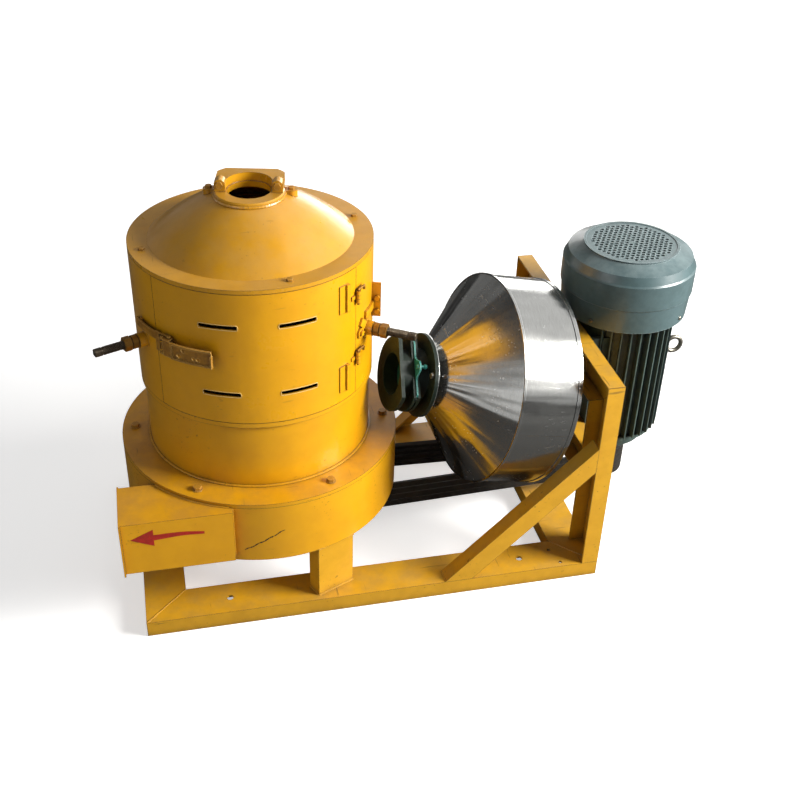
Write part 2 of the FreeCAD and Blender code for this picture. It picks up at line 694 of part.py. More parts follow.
def buildLid():
    """Flat ring, spun cone bulging a little, thick inlet collar, and the U-shaped hopper seat."""
    ringTop = chamberTop + lidRing
    rise = collarTop - collarThick - ringTop
    run = lidConeRadius - collarRadius
    midR = collarRadius + 0.52 * run
    midZ = ringTop + 0.60 * rise
    s = lidSheet
    outline = [(collarRadius - 3, collarTop - collarThick), (lidConeRadius, ringTop - s, midR - 2, midZ - s),
               (screenRadius + 12, ringTop - lidRing), (chamberRadius, ringTop - lidRing), (chamberRadius, ringTop),
               (lidConeRadius + s, ringTop), (collarRadius - 3, collarTop - collarThick + s + 1, midR + 2, midZ)]
    lid = turned(outline, axisPoint)
    bolts = []
    for angle in lidBoltAngles:
        spot = around(angle, lidBoltCircle)
        lid = lid.cut(rod(4.2, chamberTop - 1, ringTop + 1, spot))
        shank = rod(4.0, chamberTop - 10, ringTop + 1, spot)
        bolts.append(hexagon(13, 5.5, spot + V(0, 0, ringTop), UP).fuse(shank))
    add("lid", lid)
    base = collarTop - collarThick
    collar = turned([(inletRadius, base), (collarRadius - 3, base), (collarRadius - 3, base + s + 1),
                     (collarRadius, base + s + 1), (collarRadius, collarTop - 3), (collarRadius - 3, collarTop),
                     (inletRadius, collarTop)], axisPoint)
    nodes["inlet_collar"] = collar
    outer = seatInner + seatEar
    seat = box(-outer, outer, -seatFront, seatBack, collarTop, seatTop - 8)
    seat = seat.common(rod(seatBack + 20, collarTop, seatTop, V(0, 0, 0)))
    seat = seat.cut(rod(seatInner, collarTop - 1, seatTop, V(0, 0, 0)))
    seat = seat.cut(box(-seatInner, seatInner, -seatFront - 1, 0, collarTop - 1, seatTop))
    heads = []
    for side in (-1, 1):
        middle = side * (seatInner + seatEar / 2)
        boss = Part.makeCylinder(seatEar / 2, 26, V(middle, -seatFront, seatTop - seatEar / 2), V(0, 1, 0))
        start = V(middle, -seatFront, seatTop - seatEar / 2)
        drill = Part.makeCylinder(4.6, 40, start - V(0, 1, 0), V(0, 1, 0))
        lug = rod(13, collarTop - 34, collarTop - 5, V(side * seatShoulder, 20, 0))
        web = box(*sorted((side * (outer - 14), side * seatShoulder)), 8, 32, collarTop - 40, collarTop - 5)
        wall = box(*sorted((side * (outer - 16), side * outer)), -seatFront, 40, collarTop - 30, collarTop + 1)
        seat = seat.fuse([boss, lug, web, wall.cut(rod(inletRadius + 2, 0, 2000, V(0, 0, 0)))]).cut(drill)
        shank = Part.makeCylinder(4.5, 24, start - V(0, 0.5, 0), V(0, 1, 0))
        heads.append(hexagon(14, 6, start, V(0, -1, 0)).fuse(shank))
        heads.append(hexagon(13, 6, V(side * seatShoulder, 20, collarTop - 5), UP))
    for piece in (seat, *heads):
        piece.rotate(V(0, 0, 0), UP, seatTurn)
        piece.translate(axisPoint)
    dome = turned([(0, chamberTop), (lidConeRadius + s, chamberTop), (lidConeRadius + s, ringTop),
                   (collarRadius - 3, base + s + 1, midR + 2, midZ), (0, base + s + 1)], axisPoint)
    dome.translate(V(0, 0, seatLift))
    weld("inlet_collar", seat.cut(dome).Solids)
    add("seat_bolts", Part.makeCompound(heads + bolts))


# ---- Rotor and bearings

def buildBearings():
    """Flanged bearing housing on the drum's floor, with a bearing at each end."""
    low = drumFloor + floorPlate
    high = bearingTop
    seat = bearingTall + 8
    wallOut = bearingOuter + 14
    bore = bearingOuter
    outline = [(shaftRadius + 8, drumFloor), (bearingOuter + 11.7, drumFloor), (bearingOuter + 11.7, low),
               (bearingOuter + 55, low), (bearingOuter + 55, low + 14), (wallOut + 6, low + 14),
               (wallOut, low + 30), (wallOut, high), (bore, high), (bore, high - seat), (bore - 12, high - seat),
               (bore - 12, low + seat), (bore, low + seat), (bore, low + 8), (shaftRadius + 8, low + 8)]
    add("bearing_housing", turned(outline, axisPoint))
    bearings = []
    for z0 in (low + 8, high - seat):
        race = tube(bore, bore - 9, z0, z0 + bearingTall, axisPoint)
        inner = tube(shaftRadius + 9, shaftRadius + runGap, z0, z0 + bearingTall, axisPoint)
        cage = tube(bore - 9, shaftRadius + 9, z0 + 5, z0 + bearingTall - 5, axisPoint)
        bearings.append(race.fuse(inner).fuse(cage))
    add("shaft_bearings", Part.makeCompound(bearings))


def buildRotor():
    """Main shaft, sweeper, stacked emery rollers, feed cone and top nut."""
    rollerLow = deckTop + 11
    rollerHigh = chamberTop - 26
    shaftLow = drivenBottom - 9
    add("main_shaft", rod(shaftRadius, shaftLow, rollerHigh + 24, axisPoint))
    hub = tube(bearingOuter, shaftRadius, bearingTop + 12, rollerLow - 8, axisPoint)
    disc = tube(rollerRadius + 10, bearingOuter - 1, bearingTop + 20, bearingTop + 28, axisPoint)
    sweeper = hub.fuse(disc)
    top = bearingTop + 22
    near = bearingOuter + 32
    neck = casingRadius - 32
    tip = drumRadius - 20
    foot = bearingOuter + 72
    outline = [(near, top), (neck, top), (neck, chuteTop - 8), (tip, chuteTop - 16), (tip, drumFloor + 14),
               (foot, drumFloor + 14), (foot, drumFloor + 50), (near, drumFloor + 70), (near, top)]
    for k in range(4):
        face = Part.Face(Part.makePolygon([V(r, -bladeThick / 2, z) for r, z in outline]))
        blade = face.extrude(V(0, bladeThick, 0))
        blade.rotate(V(0, 0, 0), UP, 90.0 * k + bladeTurn)
        blade.translate(axisPoint)
        sweeper = sweeper.fuse(blade)
    add("sweeper", sweeper)
    tall = (rollerHigh - rollerLow - rollerGap * (rollerCount - 1)) / rollerCount
    for k in range(rollerCount):
        z0 = rollerLow + k * (tall + rollerGap)
        roller = turned([(rollerBore, z0), (rollerRadius - 3, z0), (rollerRadius, z0 + 3),
                         (rollerRadius, z0 + tall - 3), (rollerRadius - 3, z0 + tall), (rollerBore, z0 + tall)],
                        axisPoint)
        add(("lower", "middle", "upper")[k] + "_emery_roller", roller)
    spacers = [tube(rollerBore, shaftRadius, rollerLow, rollerHigh, axisPoint),
               tube(rollerRadius - 12, shaftRadius, rollerLow - 8, rollerLow, axisPoint)]
    for k in range(rollerCount - 1):
        z0 = rollerLow + (k + 1) * tall + k * rollerGap
        spacers.append(tube(rollerRadius - 10, rollerBore - 1, z0, z0 + rollerGap, axisPoint))
    sleeve = spacers[0].multiFuse(spacers[1:])
    add("roller_sleeve", sleeve)
    top = rollerHigh
    cone = turned([(shaftRadius, top), (rollerRadius - 20, top), (rollerRadius - 20, top + 6), (44, top + 46),
                   (44, top + 52), (shaftRadius, top + 52)], axisPoint)
    cap = hexagon(60, 20, V(drumX, 0, top + 52), UP).fuse(rod(shaftRadius, top + 24, top + 53, axisPoint))
    lower = hexagon(70, 12, V(drumX, 0, drivenBottom - 12), UP).cut(rod(shaftRadius, 0, drivenBottom, axisPoint))
    add("feed_cone", cone)
    add("shaft_nuts", Part.makeCompound([cap, lower]))


def buildScreen():
    """Sieve cylinder round the rollers, slotted, with a window for each resistance bar."""
    top = chamberTop - 4
    screen = tube(screenRadius + screenSheet, screenRadius, deckTop, top, axisPoint)
    cuts = []
    for side in (-1, 1):
        cuts.append(radialBlock(chamberTurn + side * adjusterAngle, rollerRadius, barBack, barWide + 6,
                                adjusterHeight - barTall / 2 - 6, adjusterHeight + barTall / 2 + 6))
    for k in range(20):
        angle = chamberTurn + 18.0 * k + 9
        for z in (adjusterHeight - 116, adjusterHeight - 16, adjusterHeight + 84):
            if abs((abs(angle - chamberTurn) % 360) - adjusterAngle) < 8 or \
                    abs((abs(angle - chamberTurn) % 360) - 360 + adjusterAngle) < 8:
                continue
            cuts.append(radialBlock(angle, screenRadius - 12, screenRadius + 13, 8, z, z + 70))
    add("sieve_screen", screen.cut(Part.makeCompound(cuts)))


# ---- Belt drive

def grooved(radius, centre, bore):
    """A V-belt pulley outline, turned: one groove for each belt."""
    z = drivenBottom
    outline = [(bore, z), (radius, z)]
    for k in range(beltCount):
        middle = beltMiddle + (k - (beltCount - 1) / 2) * beltPitch
        wide = beltWide / 2 + beltGap
        slope = (beltWide - beltNarrow) / 2 / beltThick
        depth = beltThick + 2.5
        outline += [(radius, middle - wide), (radius - depth, middle - wide + slope * depth),
                    (radius - depth, middle + wide - slope * depth), (radius, middle + wide)]
    outline += [(radius, drivenTop), (bore, drivenTop)]
    return turned(outline, centre)


def beltSection(radius, middle):
    """A belt's section, standing at a radius; wide side out."""
    outer = radius + beltProud
    inner = outer - beltThick
    outline = [(outer, middle - beltWide / 2), (outer, middle + beltWide / 2), (inner, middle + beltNarrow / 2),
               (inner, middle - beltNarrow / 2)]
    points = [V(r, 0, z) for r, z in outline]
    return Part.Face(Part.makePolygon(points + points[:1]))


def buildDrive():
    """Both pulleys and the belts, which run straight between their tangent points."""
    driven = grooved(drivenRadius, axisPoint, drivenRadius - pulleyRim - 3)
    web = tube(drivenRadius - pulleyRim, shaftRadius, beltMiddle - 9, beltMiddle + 9, axisPoint)
    hub = tube(48, shaftRadius, drivenBottom, drivenTop + 4, axisPoint)
    for k in range(4):
        angle = 45 + 90.0 * k
        web = web.cut(rod(12, 0, 300, around(angle, 66)))
    add("driven_pulley", driven.fuse(web).fuse(hub))
    add("motor_pulley", grooved(driverRadius, motorPoint, motorShaftRadius))
    span = motorX - drumX
    lean = math.degrees(math.asin((drivenRadius - driverRadius) / span))
    reach = span * math.cos(math.radians(lean))
    belts = []
    for k in range(beltCount):
        middle = beltMiddle + (k - (beltCount - 1) / 2) * beltPitch
        big = beltSection(drivenRadius, middle).revolve(V(0, 0, 0), UP, 180 + 2 * lean)
        big.rotate(V(0, 0, 0), UP, 90 - lean)
        big.translate(axisPoint)
        small = beltSection(driverRadius, middle).revolve(V(0, 0, 0), UP, 180 - 2 * lean)
        small.rotate(V(0, 0, 0), UP, -90 + lean)
        small.translate(motorPoint)
        belt = big.fuse(small)
        for side in (-1, 1):
            run = beltSection(drivenRadius, middle)
            run.rotate(V(0, 0, 0), UP, side * (90 - lean))
            run.translate(axisPoint)
            along = V(math.cos(math.radians(lean)), -side * math.sin(math.radians(lean)), 0) * reach
            belt = belt.fuse(run.extrude(along))
        belts.append(belt)
    add("v_belts", Part.makeCompound(belts))


# ---- Motor

def buildMotor():
    """Finned frame on two feet, end shields, rotor, fan, perforated fan cover, box and eye bolt."""
    c = motorPoint
    frame = tube(motorCore, statorBore, motorBottom, motorTop, c)
    fins = []
    for k in range(motorFins):
        angle = 360.0 / motorFins * (k + 0.5)
        if abs(angle - 180) < 42:
            continue
        fin = box(motorCore - 1, motorFinRadius, -motorFinThick / 2, motorFinThick / 2, motorBottom, motorTop - 12)
        fin.rotate(V(0, 0, 0), UP, angle)
        fin.translate(c)
        fins.append(fin)
    frame = frame.multiFuse(fins)
    low = motorHoles()[0][1] - footEdge
    high = motorHoles()[1][1] + footEdge
    for side in (-1, 1):
        y = side * footSpanY / 2
        y0, y1 = sorted((y - side * 48, y + side * 24))
        foot = box(rightEnd, rightEnd + footPlate, y0, y1, low, high)
        w0, w1 = sorted((side * 82.0, side * 94.0))
        web = box(rightEnd + footPlate - 1, motorX - 55, w0, w1, low, high)
        frame = frame.fuse(foot).fuse(web)
    frame = frame.cut(rod(statorBore, 0, fanCoverTop, c))
    for y, z in motorHoles():
        frame = frame.cut(Part.makeCylinder(6.5, footPlate + 2, V(rightEnd - 1, y, z), V(1, 0, 0)))
    add("motor_frame", frame)
    shield = turned([(motorShaftRadius + 1, bellBottom), (bellRadius - 22, bellBottom), (bellRadius, bellBottom + 16),
                     (bellRadius + 6, motorBottom - 20), (shieldRadius, motorBottom - 12),
                     (shieldRadius, motorBottom), (statorBore - 4, motorBottom), (statorBore - 12, bellBottom + 24),
                     (motorShaftRadius + 1, bellBottom + 24)], c)
    add("lower_end_shield", shield)
    shield = turned([(motorShaftRadius + 1, motorTop), (shieldRadius, motorTop), (shieldRadius, motorTop + 12),
                     (80, motorTop + 26), (motorShaftRadius + 1, motorTop + 26)], c)
    add("upper_end_shield", shield)
    shaft = rod(motorShaftRadius, drivenBottom + 2, motorTop + 60, c)
    core = rod(statorBore - airGap, motorBottom + 50, motorTop - 60, c)
    add("motor_shaft", shaft.fuse(core))
    fan = tube(34, motorShaftRadius, motorTop + 30, motorTop + 58, c)
    fan = fan.fuse(tube(fanCoverRadius - 45, 30, motorTop + 34, motorTop + 38, c))
    for k in range(8):
        vane = box(60, fanCoverRadius - 37, -2, 2, motorTop + 36, motorTop + 84)
        vane.rotate(V(0, 0, 0), UP, 45.0 * k)
        vane.translate(c)
        fan = fan.fuse(vane)
    add("cooling_fan", fan)
    s = fanCoverSheet
    r = fanCoverRadius
    z0 = fanCoverBottom
    z1 = fanCoverTop
    outline = [(r - 4, z0), (r, z0 + 62), (r + 3, z0 + 66), (r + 3, z0 + 128), (r, z0 + 132), (r - 8, z0 + 152),
               (grilleRadius + 4, z1 - 4), (grilleRadius + 4, z1), (grilleRadius - 2, z1), (grilleRadius - 2, z1 - 6),
               (r - 12, z0 + 149), (r - s, z0 + 130), (r, z0 + 126), (r, z0 + 68), (r - s, z0 + 63), (r - 4 - s, z0)]
    add("fan_cover", turned(outline, c))
    grille = rod(grilleRadius - 2, z1 - 4, z1 - 1.5, c)
    holes = []
    rows = int(grilleRadius / grillePitch) + 1
    for i in range(-rows, rows + 1):
        for j in range(-rows, rows + 1):
            x = (i + 0.5 * j) * grillePitch
            y = j * grillePitch * math.sqrt(3) / 2
            if 12 < math.hypot(x, y) < grilleRadius - 16:
                holes.append(hexagon(2 * grilleHole, 6, V(c.x + x, c.y + y, z1 - 6), UP))
    add("fan_grille", grille.cut(Part.makeCompound(holes)))
    y0 = motorFinRadius + 1
    half = terminalWide / 2
    low = terminalBottom
    top = low + terminalTall
    terminal = box(c.x - half, c.x + half, y0, y0 + 34, low, top)
    terminal = terminal.fuse(box(c.x - half - 5, c.x + half + 5, y0 + 34, y0 + 42, low - 5, top + 5))
    gland = rod(13, low - 22, low + 1, V(c.x, y0 + 17, 0))
    add("terminal_box", terminal.fuse(gland))
    seat = box(c.x - half + 5, c.x + half - 5, motorCore - 30, y0, low + 5, top - 5)
    nodes["motor_frame"] = nodes["motor_frame"].fuse(seat.cut(rod(motorCore - 1, 0, fanCoverTop, c)))
    eyeZ = eyeHeight
    eyeX = c.x + motorCore
    ring = Part.makeTorus(eyeInner + eyeWire, eyeWire, V(eyeX + 52, 0, eyeZ), V(0, 1, 0))
    stem = Part.makeCylinder(8, 34, V(eyeX, 0, eyeZ), V(1, 0, 0))
    collar = Part.makeCylinder(14, 5, V(eyeX + 21.5, 0, eyeZ), V(1, 0, 0))
    eye = stem.fuse(collar).fuse(ring)
    pad = box(eyeX - 2, eyeX + 21.5, -16, 16, eyeZ - 16, eyeZ + 16).cut(rod(motorCore, 0, fanCoverTop, c))
    nodes["motor_frame"] = nodes["motor_frame"].cut(box(eyeX - 2, eyeX + 30, -16, 16, eyeZ - 16, eyeZ + 16))
    barrel = tube(motorCore, statorBore, motorBottom, motorTop, c)
    nodes["motor_frame"] = nodes["motor_frame"].fuse(pad).fuse(barrel)
    nodes["motor_frame"] = nodes["motor_frame"].cut(Part.makeCylinder(8, 60, V(eyeX - 1, 0, eyeZ), V(1, 0, 0)))
    add("motor_frame", nodes["motor_frame"])
    add("eye_bolt", eye.cut(rod(motorCore - 1, 0, fanCoverTop, c)))
    bolts = []
    for y, z in motorHoles():
        head = hexagon(19, 8, V(rightEnd + footPlate, y, z), V(1, 0, 0))
        shank = Part.makeCylinder(6.0, footPlate + channelWall + 14, V(rightEnd + footPlate + 1, y, z), V(-1, 0, 0))
        nut = hexagon(19, 10, V(rightEnd - channelWall - 10, y, z), V(1, 0, 0))
        bolts.append(head.fuse(shank).fuse(nut))
    add("motor_bolts", Part.makeCompound(bolts))


# ---- Feed hopper and its gated neck

def laid(shape):
    """Turn a shape made about +X at the origin to the hopper's laid-down place."""
    shape.rotate(V(0, 0, 0), V(0, 1, 0), hopperDip)
    shape.rotate(V(0, 0, 0), UP, hopperTurn)
    shape.translate(V(*hopperPlace))
    return shape


def alongX(points):
    """Turn a closed (radius, distance) outline about +X."""
    solid = turned(points)
    solid.rotate(V(0, 0, 0), V(0, 1, 0), 90)
    return solid


def rolled(shape):
    """Turn a shape made with the gate pulling along -Y to the gate's real direction about the neck."""
    shape.rotate(V(0, 0, 0), V(1, 0, 0), gateTurn)
    return shape


def buildHopper():
    """Rolled band and cone in thin sheet with wired edges; cast neck, slide gate and screws."""
    s = hopperSheet
    r = hopperRadius
    small = neckBore + neckWall
    x0 = -hopperConeLong
    edge = 5.0
    bead = 3.0
    outline = [(r - s, 0), (small - s, x0), (neckFlange, x0), (neckFlange, x0 + s), (small + 4, x0 + s),
               (r - 1, -bead), (r + bead, -bead), (r + bead, bead), (r, bead), (r, hopperBand - 2 * edge),
               (r + 2, hopperBand - 2 * edge), (r + 2, hopperBand),
               (r - s - edge, hopperBand), (r - s - edge, hopperBand - 2 * edge), (r - s, hopperBand - 2 * edge)]
    holes = []
    for k in range(neckScrewCount):
        angle = 2 * math.pi / neckScrewCount * k + math.radians(neckScrewStart)
        y = neckScrewCircle * math.cos(angle)
        z = neckScrewCircle * math.sin(angle)
        holes.append((y, z))
    drills = [Part.makeCylinder(4.5, 60, V(x0 - 30, y, z), V(1, 0, 0)) for y, z in holes]
    add("hopper_shell", laid(alongX(outline).cut(drills)))
    neckIn = x0 - neckLong
    split = x0 - neckLong / 2
    near = split + gateThick / 2
    far = split - gateThick / 2
    lip = 6.0
    back = alongX([(neckBore, x0), (neckBore, near), (neckFarFlange, near), (neckFarFlange, near + lip),
                   (small, near + lip), (small + 6, x0 - flangeThick), (neckFlange, x0 - flangeThick),
                   (neckFlange, x0)])
    front = alongX([(neckBore, far), (neckBore, neckIn), (neckFarFlange, neckIn),
                    (neckFarFlange, neckIn + flangeThick), (small, neckIn + flangeThick), (small, far - lip),
                    (neckFarFlange, far - lip), (neckFarFlange, far)])
    flat = rolled(box(neckIn - 1, near + lip, -2 * neckFarFlange, -neckFlat, -neckFlange, neckFlange))
    reach = math.sqrt(neckFarFlange ** 2 - (gateHalf + 9) ** 2) - 4
    rails = [box(far - 0.5, near + 0.5, -neckBore, neckBore, side - 4, side + 4)
             for side in (-gateHalf - 4.5, gateHalf + 4.5)]
    stop = box(far - 0.5, near + 0.5, neckBore + 8, neckBore + 20, -reach, reach)
    guides = [rolled(piece).common(alongX([(0, far - 0.5), (neckFarFlange, far - 0.5), (neckFarFlange, near + 0.5),
                                           (0, near + 0.5)])) for piece in [*rails, stop]]
    add("feed_neck", laid(back.cut(drills).fuse(front).cut(flat).fuse(guides)))
    gap = 0.4
    thick = gateThick - 2 * gap
    lobe = [V(0, -neckFlat - 3, 32), V(0, -neckFlat - 7, 23), V(0, -neckFlat - 16, 17),
            V(0, -gateLobe + 3, 11), V(0, -gateLobe, 0), V(0, -gateLobe + 3, -11),
            V(0, -neckFlat - 16, -17), V(0, -neckFlat - 7, -23), V(0, -neckFlat - 3, -32)]
    curve = Part.BSplineCurve()
    curve.interpolate(lobe)
    corners = [lobe[-1], V(0, -neckFlat - 3, -gateHalf), V(0, neckBore + 6, -gateHalf),
               V(0, neckBore + 6, gateHalf), V(0, -neckFlat - 3, gateHalf), lobe[0]]
    edges = [curve.toShape()] + [Part.LineSegment(p, q).toShape() for p, q in zip(corners, corners[1:])]
    slide = Part.Face(Part.Wire(Part.__sortEdges__(edges))).extrude(V(thick, 0, 0))
    slide.translate(V(split - thick / 2, 0, 0))
    cap = alongX([(0, split - 60), (neckFarFlange - 3, split - 60), (neckFarFlange - 3, split + 60), (0, split + 60)])
    slide = rolled(slide).common(cap)
    head = V(split - thick / 2 + 1, -gateLobe + 9, 0)
    knob = hexagon(11, 5, head, V(-1, 0, 0)).fuse(Part.makeCylinder(3.5, thick + 11, head, V(1, 0, 0)))
    knob = knob.fuse(Part.makeSphere(6.5, head + V(thick + 13, 0, 0)))
    add("slide_gate", laid(slide.fuse(rolled(knob))))
    screws = []
    for y, z in holes:
        head = hexagon(14, 7, V(x0 - flangeThick, y, z), V(-1, 0, 0))
        shank = Part.makeCylinder(4, flangeThick + s + 6, V(x0 - flangeThick - 1, y, z), V(1, 0, 0))
        screws.append(head.fuse(shank))
    add("neck_screws", laid(Part.makeCompound(screws)))


def main():
    buildRails()
    buildEndFrame()
    buildLegs()
    buildDrum()
    buildDrumCover()
    buildCasing()
    buildChamber()
    buildHinges()
    buildStrap()
    buildLatch()
    buildAdjusters()
    buildLid()
    buildBearings()
    buildRotor()
    buildScreen()
    buildDrive()
    buildMotor()
    buildHopper()
    os.makedirs("parts", exist_ok=True)
    for name, shape in nodes.items():
        shape.exportStep(os.path.join("parts", name + ".step"))
        bounds = shape.BoundBox
        print("%-22s solids %d  x %.0f..%.0f  y %.0f..%.0f  z %.0f..%.0f" % (
            name, len(shape.Solids), bounds.XMin, bounds.XMax, bounds.YMin, bounds.YMax, bounds.ZMin, bounds.ZMax))
    print(len(nodes), "nodes")


main()
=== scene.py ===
import bmesh
import bpy
import math
import numpy as np
from mathutils import Matrix, Vector


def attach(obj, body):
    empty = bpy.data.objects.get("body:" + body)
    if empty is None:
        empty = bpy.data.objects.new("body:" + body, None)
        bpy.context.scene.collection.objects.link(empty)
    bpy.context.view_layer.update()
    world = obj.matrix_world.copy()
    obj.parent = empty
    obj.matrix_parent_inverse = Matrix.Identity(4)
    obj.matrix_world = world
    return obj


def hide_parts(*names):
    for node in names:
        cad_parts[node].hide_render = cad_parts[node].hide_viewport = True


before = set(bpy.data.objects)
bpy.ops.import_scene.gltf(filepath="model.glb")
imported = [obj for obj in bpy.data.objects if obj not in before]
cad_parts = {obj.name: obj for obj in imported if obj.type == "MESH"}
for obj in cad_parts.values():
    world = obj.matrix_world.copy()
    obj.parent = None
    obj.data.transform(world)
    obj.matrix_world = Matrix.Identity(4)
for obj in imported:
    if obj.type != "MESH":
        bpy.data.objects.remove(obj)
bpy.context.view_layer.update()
print("frame loaded:", len(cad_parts), "nodes")

mm = 0.001


# ---- colours, written as they look and turned to linear light

def shade(text):
    # each channel: c/12.92 below 0.04045, else ((c + 0.055)/1.055)^2.4
    values = [int(text[k:k + 2], 16) / 255 for k in (1, 3, 5)]
    return [v / 12.92 if v <= 0.04045 else ((v + 0.055) / 1.055) ** 2.4 for v in values] + [1.0]


# ---- node helpers

def place(tree, kind, settings=None, **sockets):
    # one node with its settings and its plain socket values
    node = tree.nodes.new("ShaderNode" + kind)
    for key, value in (settings or {}).items():
        setattr(node, key, value)
    for key, value in sockets.items():
        feed(tree, value, node.inputs[key.replace("_", " ")])
    return node


def feed(tree, value, socket):
    # a number or colour is set on the socket, an output is linked to it
    if isinstance(value, bpy.types.NodeSocket):
        tree.links.new(value, socket)
    else:
        socket.default_value = value


def math2(tree, operation, a, b=None, c=None, clamp=False):
    node = tree.nodes.new("ShaderNodeMath")
    node.operation = operation
    node.use_clamp = clamp
    for socket, value in zip(node.inputs, (a, b, c)):
        if value is not None:
            feed(tree, value, socket)
    return node.outputs[0]


def ramp(tree, value, low, high, outLow=0.0, outHigh=1.0):
    # smooth step from low to high
    node = place(tree, "MapRange", {"interpolation_type": "SMOOTHSTEP"})
    for index, item in enumerate((value, low, high, outLow, outHigh)):
        feed(tree, item, node.inputs[index])
    return node.outputs[0]


def blendColour(tree, mask, a, b, mode="MIX"):
    node = tree.nodes.new("ShaderNodeMix")
    node.data_type = "RGBA"
    node.blend_type = mode
    feed(tree, mask, node.inputs[0])
    feed(tree, a, node.inputs[6])
    feed(tree, b, node.inputs[7])
    return node.outputs[2]


def noise(tree, vector, scale, detail=4.0, rough=0.55, warp=0.0):
    node = place(tree, "TexNoise", None, Scale=scale, Detail=detail, Roughness=rough, Distortion=warp)
    feed(tree, vector, node.inputs["Vector"])
    return node.outputs["Fac"]


def bump(tree, height, distance, normal=None, strength=1.0):
    node = place(tree, "Bump", None, Distance=distance, Strength=strength)
    feed(tree, height, node.inputs["Height"])
    if normal is not None:
        feed(tree, normal, node.inputs["Normal"])
    return node.outputs["Normal"]


# ---- effects shared by several finishes

def effect(name, inputs, outputs):
    # an empty node group with named number inputs and outputs
    tree = bpy.data.node_groups.new(name, "ShaderNodeTree")
    for label, value in inputs.items():
        socket = tree.interface.new_socket(name=label, in_out="INPUT", socket_type="NodeSocketFloat")
        socket.default_value = value
    for label in outputs:
        tree.interface.new_socket(name=label, in_out="OUTPUT", socket_type="NodeSocketFloat")
    entry = tree.nodes.new("NodeGroupInput")
    leave = tree.nodes.new("NodeGroupOutput")
    return tree, entry, leave


def makeEdgeWearAndHighlight():
    # mask = step of (1 - rounded normal . true normal) broken up by noise; it lays chips on edges, and where a finish
    # gives it a pale colour, a painted highlight
    tree, entry, leave = effect("edgeWearAndHighlight", {"Width": 0.003, "Breakup": 60.0, "Amount": 0.5}, ["Mask"])
    spot = place(tree, "TexCoord").outputs["Object"]
    rounded = place(tree, "Bevel", {"samples": 4}, Radius=entry.outputs["Width"])
    flat = place(tree, "NewGeometry").outputs["Normal"]
    dot = place(tree, "VectorMath", {"operation": "DOT_PRODUCT"})
    tree.links.new(rounded.outputs[0], dot.inputs[0])
    tree.links.new(flat, dot.inputs[1])
    bend = math2(tree, "SUBTRACT", 1.0, dot.outputs["Value"])
    rough = noise(tree, spot, entry.outputs["Breakup"], 6.0, 0.7)
    coarse = noise(tree, spot, math2(tree, "MULTIPLY", entry.outputs["Breakup"], 0.16), 3.0)
    mixed = math2(tree, "MULTIPLY", math2(tree, "ADD", rough, coarse), math2(tree, "MULTIPLY", entry.outputs["Amount"], 0.16))
    score = math2(tree, "ADD", bend, mixed)
    feed(tree, math2(tree, "MULTIPLY", ramp(tree, score, 0.20, 0.26), ramp(tree, bend, 0.015, 0.05)), leave.inputs["Mask"])
    return tree


def makeMottle():
    # fac = 0.6 broad noise + 0.4 fine noise, spread over 0 to 1
    tree, entry, leave = effect("mottle", {"Scale": 6.0}, ["Fac"])
    spot = place(tree, "TexCoord").outputs["Object"]
    broad = noise(tree, spot, entry.outputs["Scale"], 4.0, 0.6, 0.4)
    fine = noise(tree, spot, math2(tree, "MULTIPLY", entry.outputs["Scale"], 6.3), 5.0, 0.6)
    total = math2(tree, "ADD", math2(tree, "MULTIPLY", broad, 0.6), math2(tree, "MULTIPLY", fine, 0.4))
    feed(tree, ramp(tree, total, 0.34, 0.66), leave.inputs["Fac"])
    return tree


def makeDustAndShade():
    # corners: 1 - open sky share, broken by noise, a painted shade; settled dust: upward normal times noise
    tree, entry, leave = effect("dustAndShade", {"Reach": 0.03, "Scale": 12.0}, ["Corner", "Dust"])
    spot = place(tree, "TexCoord").outputs["Object"]
    open_ = place(tree, "AmbientOcclusion", {"samples": 4}, Distance=entry.outputs["Reach"]).outputs["AO"]
    broken = noise(tree, spot, entry.outputs["Scale"], 5.0, 0.65)
    closed = math2(tree, "SUBTRACT", 1.0, open_)
    feed(tree, ramp(tree, math2(tree, "MULTIPLY", closed, math2(tree, "ADD", broken, 0.45)), 0.12, 0.75), leave.inputs["Corner"])
    normal = place(tree, "SeparateXYZ")
    feed(tree, place(tree, "NewGeometry").outputs["Normal"], normal.inputs[0])
    up = ramp(tree, normal.outputs["Z"], 0.25, 0.95)
    feed(tree, math2(tree, "MULTIPLY", up, ramp(tree, broken, 0.30, 0.72)), leave.inputs["Dust"])
    return tree


def makeScuffs():
    # thin marks: noise stretched along one way and cut near its crest, twice, in crossing directions
    tree, entry, leave = effect("scuffs", {"Scale": 8.0, "Amount": 0.5}, ["Mask"])
    spot = place(tree, "TexCoord").outputs["Object"]
    marks = []
    for turn, squeeze in (((0.3, 0.9, 0.2), (1, 16, 14)), ((1.1, 0.2, 1.0), (14, 1, 18))):
        aim = place(tree, "Mapping", None, Rotation=turn, Scale=squeeze)
        feed(tree, spot, aim.inputs["Vector"])
        line = noise(tree, aim.outputs[0], entry.outputs["Scale"], 3.0, 0.5)
        marks.append(ramp(tree, line, 0.66, 0.72))
    patch = ramp(tree, noise(tree, spot, entry.outputs["Scale"], 2.0), 0.45, 0.62)
    both = math2(tree, "MAXIMUM", marks[0], marks[1])
    feed(tree, math2(tree, "MULTIPLY", math2(tree, "MULTIPLY", both, patch), entry.outputs["Amount"]), leave.inputs["Mask"])
    return tree


edgeWearAndHighlight = makeEdgeWearAndHighlight()
mottle = makeMottle()
dustAndShade = makeDustAndShade()
scuffs = makeScuffs()


def use(tree, group, **values):
    node = tree.nodes.new("ShaderNodeGroup")
    node.node_tree = group
    for key, value in values.items():
        node.inputs[key].default_value = value
    return node


